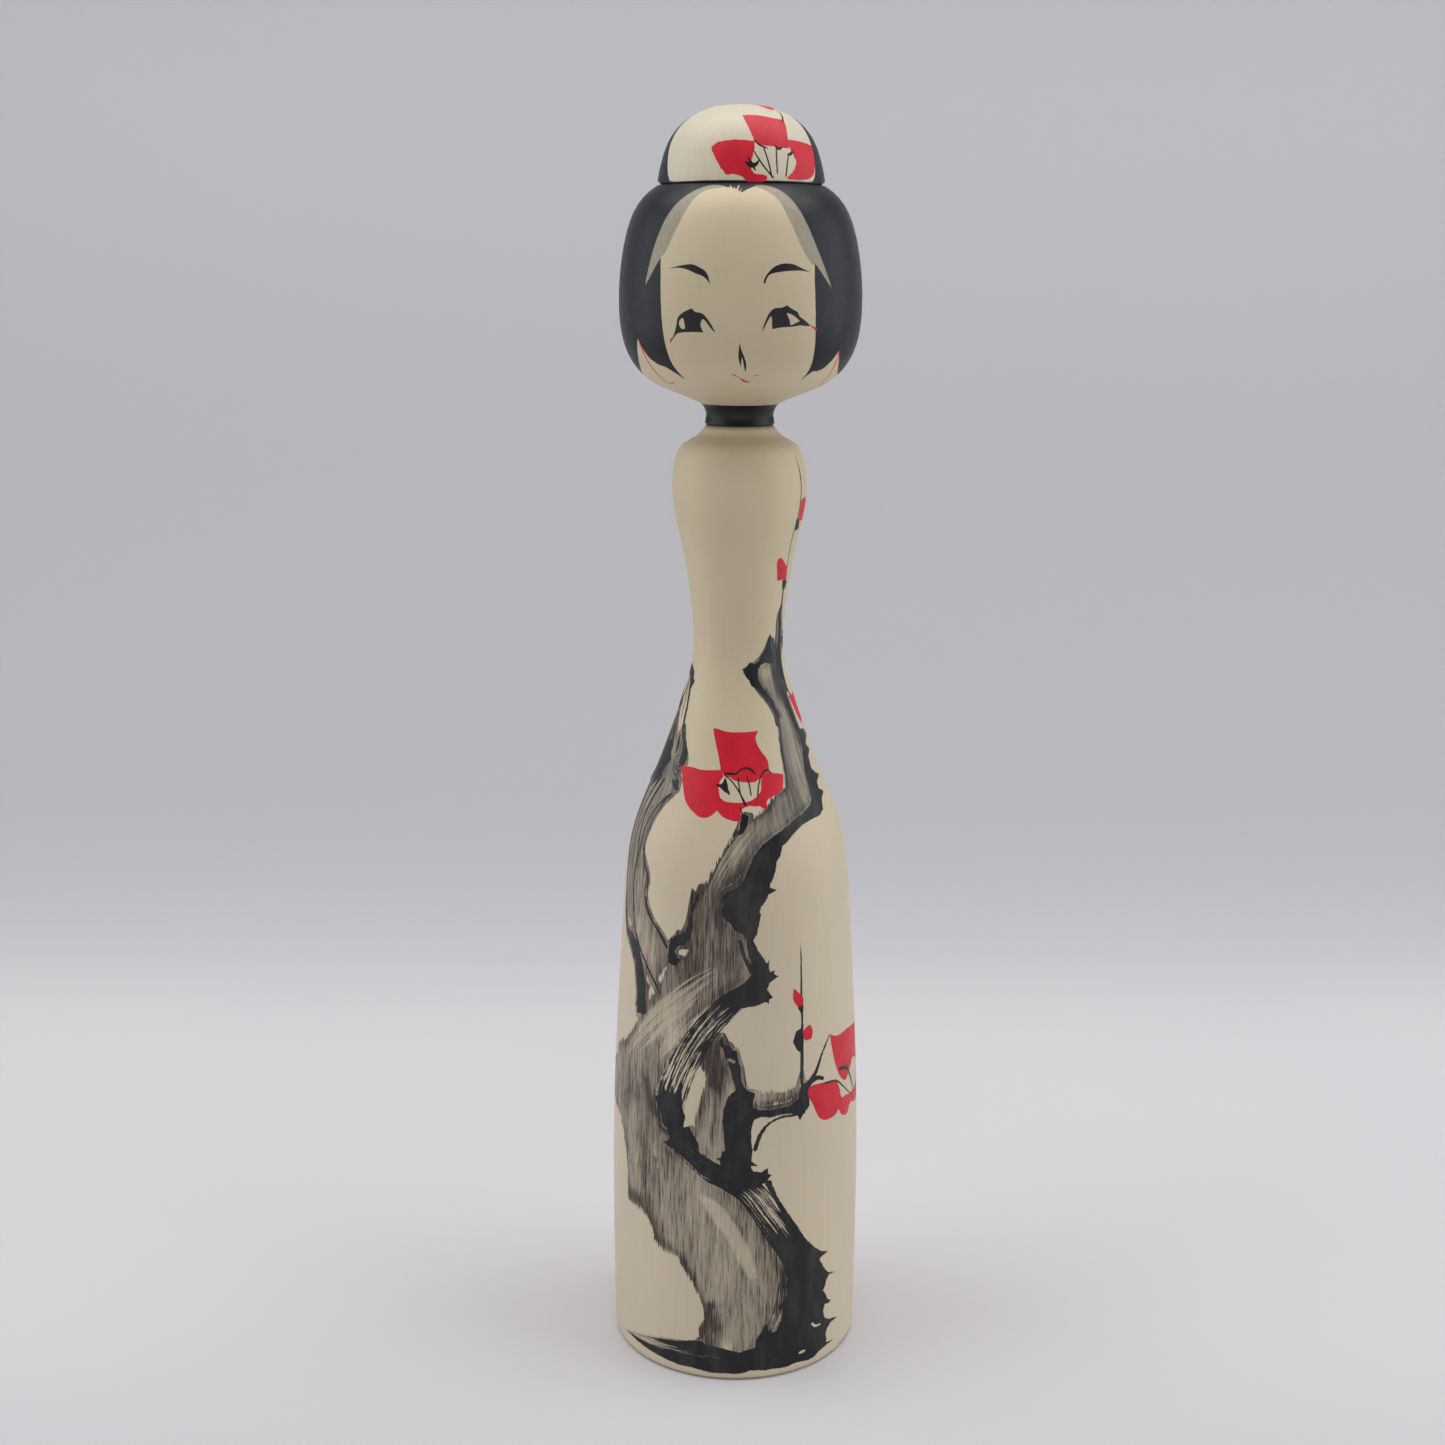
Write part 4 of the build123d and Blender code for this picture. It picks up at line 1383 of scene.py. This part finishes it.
class PaintedWood(Nodes):
    """Waxed pale wood under whichever of the paint layers a skin has."""

    def __init__(self, look, layers):
        super().__init__(look.name)
        self.look = look
        self.grain = self.noise(self.place(1.3, 1.3, 0.03), 3.0, 0.5)
        self.pores = self.noise(self.place(4.0, 4.0, 1.3), 2.0)
        # paint soaks along the grain: these push the edges of the marks up and down it
        self.soak = self.math("SUBTRACT", self.noise(self.upright(4.2, 0.22), 3.0, 0.6), 0.5)
        self.wobble = self.math("SUBTRACT", self.noise(self.place(1.1, 1.1, 1.1), 3.0), 0.5)

        colour = self.wood()
        if "wash" in layers:
            colour = self.add_wash(colour)
        ink = self.ink("dry" in layers)
        colour = self.blend(ink, colour, self.black())
        if "lock" in layers:
            colour = self.add_locks(colour)
        colour = self.add_red(colour)
        line = self.cut(self.edge("line", 0.03, 0.05), 0.035)
        colour = self.blend(line, colour, linear(30, 28, 31))
        self.put(self.shader.inputs["Base Color"], colour)
        self.finish(self.math("MAXIMUM", ink, line))

    def edge(self, layer, soaking, wobbling):
        """Distance to a layer's edge once it has soaked into the grain."""
        far = self.math("MULTIPLY_ADD", self.soak, soaking, self.layer(layer))
        return self.math("MULTIPLY_ADD", self.wobble, wobbling, far)

    def cut(self, far, soft=0.05):
        """1 inside an edge and 0 outside it."""
        return self.span(far, soft, -soft)

    def hairs(self, layer, fine, contrast):
        """Long hairs of a combed stroke: below 0 where paint lies, above 0 where the stroke runs bare."""
        across, along = self.layer(layer + "_across"), self.layer(layer + "_along")
        long_ = self.vector(self.math("MULTIPLY", across, fine), self.math("MULTIPLY", along, 0.055), 0.0)
        short = self.vector(self.math("MULTIPLY", across, 13.0), self.math("MULTIPLY", along, 0.5), 3.0)
        skips = self.math("SUBTRACT", self.noise(short, 2.0), 0.5)
        loaded = self.math("MULTIPLY_ADD", skips, 0.22, self.noise(long_, 4.0, 0.7))
        bare = self.math("MULTIPLY_ADD", self.layer(layer + "_bare"), contrast, 0.27)
        return self.math("SUBTRACT", bare, loaded)

    def wood(self):
        """Long faint grain, small pores and soft clouds of tone."""
        cloud = self.noise(self.place(0.05, 0.05, 0.03), 2.0)
        upper = self.span(self.height(), 60.0, 170.0)
        # above 170 mm the wood takes the look's own colour; on the cap that is paler, a painted highlight
        colour = self.blend(upper, linear(201, 188, 165), linear(*self.look.wood))
        colour = self.blend(self.span(self.grain, 0.3, 0.7, 0.0, 0.16), colour, linear(186, 168, 136))
        colour = self.blend(self.span(self.pores, 0.5, 0.8, 0.0, 0.16), colour, linear(180, 162, 130))
        return self.blend(self.span(cloud, 0.35, 0.7, 0.0, 0.3), colour, linear(212, 197, 168))

    def add_wash(self, colour):
        """Thin streaky ink, brown on the trunk and grey on the branches."""
        far = self.wash_edge()
        branches = self.span(self.height(), 96.0, 112.0)
        washes = self.noise(self.upright(0.3, 0.05), 3.0, 0.55)
        veins = self.noise(self.upright(2.0, 0.1), 4.0, 0.66)
        hairlines = self.noise(self.upright(5.6, 0.22), 2.0, 0.5)
        lifted = self.lifted()

        fine = self.span(hairlines, 0.5, 0.64, 0.0, 0.4)
        streaky = self.math("ADD", self.span(veins, 0.38, 0.66, 0.0, 0.34), fine)
        streaky = self.math("MULTIPLY", streaky, self.span(branches, 0.0, 1.0, 1.0, 0.4))
        edging = self.span(far, -1.1, -0.05, 0.0, 0.2)
        edging = self.math("MULTIPLY", edging, self.math("ADD", branches, 1.0))
        base = self.math("MULTIPLY_ADD", branches, 0.16, 0.2)
        depth = self.math("MULTIPLY_ADD", self.layer("tone"), 0.6, base)
        depth = self.math("ADD", depth, self.math("ADD", streaky, edging))
        depth = self.math("ADD", depth, self.span(washes, 0.3, 0.7, -0.2, 0.26))
        depth = self.math("MULTIPLY_ADD", lifted, -0.34, depth)

        trunk = self.blend(self.span(washes, 0.38, 0.58), linear(62, 56, 52), linear(80, 66, 56))
        trunk = self.blend(self.span(hairlines, 0.46, 0.6), trunk, linear(46, 42, 40))
        dark = self.blend(branches, trunk, linear(50, 51, 49))
        stain = self.blend(self.span(depth, 0.0, 1.1), linear(166, 154, 136), dark)
        strength = self.math("MULTIPLY", self.cut(far, 0.12), self.span(depth, -0.3, 0.15, 0.25, 1.0))
        strength = self.math("MULTIPLY", strength, self.span(lifted, 0.0, 1.0, 1.0, 0.55))
        return self.blend(strength, colour, stain)

    def wash_edge(self):
        """The wash's edge, run in under the ink where the two nearly meet."""
        outside = self.math("MAXIMUM", self.layer("ink"), 0.0)
        under = self.math("SUBTRACT", self.math("ADD", self.layer("wash"), outside), 1.2)
        under = self.math("MAXIMUM", under, self.math("SUBTRACT", self.layer("ink"), 0.9))
        return self.math("MINIMUM", self.edge("wash", 1.6, 0.5), under)

    def lifted(self):
        """Where a stiff brush lifted the wash."""
        bare = self.span(self.hairs("lift", 3.4, 0.46), -0.1, 0.08)
        return self.math("MULTIPLY", bare, self.cut(self.edge("lift", 0.6, 0.6), 0.5))

    def ink(self, dry):
        """Where black ink lies, with the dry brush's hairs if there are any."""
        solid = self.cut(self.edge("ink", self.look.ink_soak, 0.16))
        if not dry:
            return solid
        inked = self.span(self.hairs("dry", 7.0, 0.42), 0.02, -0.02)
        bristled = self.math("MULTIPLY", inked, self.cut(self.edge("dry", 0.3, 0.3)))
        return self.math("MAXIMUM", solid, bristled)

    def black(self):
        """Ink that is a little thinner here and there."""
        thin = self.noise(self.place(0.35, 0.35, 0.12), 4.0, 0.6)
        return self.blend(self.span(thin, 0.42, 0.72), linear(*self.look.ink), linear(*self.look.thin_ink))

    def add_locks(self, colour):
        """Translucent grey locks at the temples."""
        brushed = self.span(self.noise(self.place(1.6, 1.6, 0.5), 3.0), 0.3, 0.7, 0.75, 0.95)
        lock = self.math("MULTIPLY", self.cut(self.edge("lock", 0.0, 0.1), 0.1), brushed)
        return self.blend(lock, colour, linear(142, 136, 120))

    def add_red(self, colour):
        """Red, a little deeper where strokes overlap."""
        pooled = self.noise(self.place(0.3, 0.3, 0.2), 2.0)
        red = self.blend(self.span(pooled, 0.3, 0.7), linear(206, 30, 50), linear(190, 24, 44))
        return self.blend(self.cut(self.edge("red", self.look.red_soak, 0.12)), colour, red)

    def finish(self, painted):
        """A soft waxed sheen, slightly glossier on the ink, over a trace of relief from the grain."""
        sheen = self.span(self.noise(self.place(0.9, 0.9, 0.5), 3.0), 0.3, 0.7, -0.04, 0.04)
        bump = self.tree.nodes.new("ShaderNodeBump")
        bump.inputs["Strength"].default_value = 0.05
        bump.inputs["Distance"].default_value = 0.03 * MM
        self.put(bump.inputs["Height"], self.math("MULTIPLY_ADD", self.pores, 0.5, self.grain))
        rough = self.math("ADD", sheen, self.span(painted, 0.0, 1.0, 0.45, 0.42))
        self.put(self.shader.inputs["Roughness"], rough)
        self.put(self.shader.inputs["Normal"], bump.outputs["Normal"])
        self.shader.inputs["Specular IOR Level"].default_value = 0.3


def bare_wood(name):
    """Unwaxed dowel wood with long grain."""
    nodes = Nodes(name)
    grain = nodes.noise(nodes.place(2.5, 2.5, 0.08), 4.0, 0.65)
    colour = nodes.blend(nodes.span(grain, 0.3, 0.7), linear(205, 180, 138), linear(170, 138, 96))
    nodes.put(nodes.shader.inputs["Base Color"], colour)
    nodes.put(nodes.shader.inputs["Roughness"], nodes.span(grain, 0.3, 0.7, 0.6, 0.75))
    return nodes.material


# ---------------------------------------------------------------- stage


def surroundings():
    """Dim even light from all round."""
    world = bpy.data.worlds.new("studio")
    world.use_nodes = True
    background = world.node_tree.nodes["Background"]
    background.inputs[0].default_value = linear(200, 199, 204)
    background.inputs[1].default_value = 0.25
    bpy.context.scene.world = world


def paper():
    """Pale paper with painted shade: darker in front of the doll and on the wall behind it."""
    nodes = Nodes("backdrop_paper")
    mottle = nodes.noise(nodes.place(0.004, 0.004, 0.004), 2.0)
    floor = nodes.blend(nodes.span(mottle, 0.3, 0.7), linear(214, 211, 213), linear(217, 214, 215))
    # painted shade: the floor darkens from the doll's foot to 110 mm in front of it
    front = nodes.blend(nodes.span(nodes.depth(), 0.0, -110.0), floor, linear(199, 197, 200))
    # painted shade: the wall is darker than the floor, and darkest low down
    rising = nodes.span(nodes.height(), 120.0, 300.0)
    wall = nodes.blend(rising, linear(190, 188, 191), linear(199, 197, 200))
    colour = nodes.blend(nodes.span(nodes.depth(), 140.0, 340.0), front, wall)
    nodes.put(nodes.shader.inputs["Base Color"], colour)
    nodes.shader.inputs["Roughness"].default_value = 0.9
    return nodes.material


def seamless_sweep():
    """A backdrop whose floor bends up into a wall behind the doll."""
    floor_front, floor_back, bend = -1.2, 0.22, 0.3
    wall_top, half_width, steps = 1.6, 2.4, 16
    sweep = [(floor_front, 0.0), (floor_back, 0.0)]
    for k in range(1, steps + 1):
        turn = math.radians(90 * k / steps)
        sweep.append((floor_back + bend * math.sin(turn), bend - bend * math.cos(turn)))
    sweep.append((floor_back + bend, wall_top))
    places = [(x, y, z) for y, z in sweep for x in (-half_width, half_width)]
    faces = [(2 * k, 2 * k + 1, 2 * k + 3, 2 * k + 2) for k in range(len(sweep) - 1)]
    mesh = bpy.data.meshes.new("backdrop")
    mesh.from_pydata(places, [], faces)
    mesh.shade_smooth()
    mesh.materials.append(paper())
    backdrop = bpy.data.objects.new("backdrop", mesh)
    bpy.context.scene.collection.objects.link(backdrop)


def lights(aim):
    """Soft daylight from both sides, a lamp overhead and a low one in front."""
    daylight, lamplight = (0.92, 0.965, 1.0), (0.99, 0.985, 0.985)
    panels = (
        ("left", (-0.65, -0.06, 0.28), (0.8, 0.6), 2.1, daylight),
        ("right", (0.65, -0.06, 0.28), (0.8, 0.6), 2.4, daylight),
        ("top", (0.0, 0.0, 0.6), (0.9, 0.4), 3.05, lamplight),
        ("low", (0.0, -0.7, 0.06), (1.0, 0.14), 1.1, lamplight),
    )
    for name, place, size, watts, colour in panels:
        light = bpy.data.lights.new(name, "AREA")
        light.shape = "RECTANGLE"
        light.size, light.size_y = size
        light.energy = watts
        light.color = colour
        lamp = bpy.data.objects.new(name, light)
        lamp.location = place
        lamp.rotation_euler = (aim - lamp.location).to_track_quat("-Z", "Y").to_euler()
        lamp.visible_camera = False
        bpy.context.scene.collection.objects.link(lamp)


def camera():
    """Level with the face and tilted down, with the doll a little right of the middle."""
    distance, height = 0.3729, 0.2133
    pitch, yaw, roll = math.radians(12.97), math.radians(0.457), math.radians(0.27)
    data = bpy.data.cameras.new("camera")
    data.sensor_width = 36.0
    data.lens = 48.96
    data.clip_start = 0.01
    eye = bpy.data.objects.new("camera", data)
    tilt = Matrix.Rotation(math.pi / 2 - pitch, 4, "X") @ Matrix.Rotation(roll, 4, "Z")
    turn = Matrix.Rotation(yaw, 4, "Z") @ tilt
    eye.matrix_world = Matrix.Translation((0, -distance, height)) @ turn
    bpy.context.scene.collection.objects.link(eye)
    bpy.context.scene.camera = eye


# ---------------------------------------------------------------- the doll

ink_black, hair_black = ((22, 22, 26), (48, 46, 46)), ((13, 16, 22), (20, 23, 29))
# the cap's paler, whiter wood is a painted highlight from the lamp overhead on the cap's top
warm_wood, cap_wood_painted_highlight = (198, 182, 152), (203, 194, 174)
body_look = Look("body_paint", *ink_black, warm_wood, ink_soak=0.5, red_soak=0.2)
head_look = Look("head_paint", *hair_black, warm_wood, ink_soak=0.03, red_soak=0.03)
cap_look = Look("cap_paint", *hair_black, cap_wood_painted_highlight, ink_soak=0.03, red_soak=0.6)
bpy.context.scene.view_settings.view_transform = "Standard"

skins = (
    ("turned_body", "body", "body", "body_wood", paint_body, body_look),
    ("turned_head", "head", "head", "head_wood", paint_head, head_look),
    ("turned_cap", "hair_cap", "head", "cap_wood", paint_cap, cap_look),
)
for name, node, body, slot, paint, look in skins:
    skin = Skin(node, paint)
    piece = skin.build(name)
    piece.data.materials.append(PaintedWood(look, skin.layers).material)
    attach(piece, body)
    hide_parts(node)

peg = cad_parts["cap_peg"]
peg.data.materials.clear()
peg.data.materials.append(bare_wood("dowel"))

surroundings()
seamless_sweep()
lights(aim=Vector((0, 0, cad_bounds[1][2] / 2)))
camera()
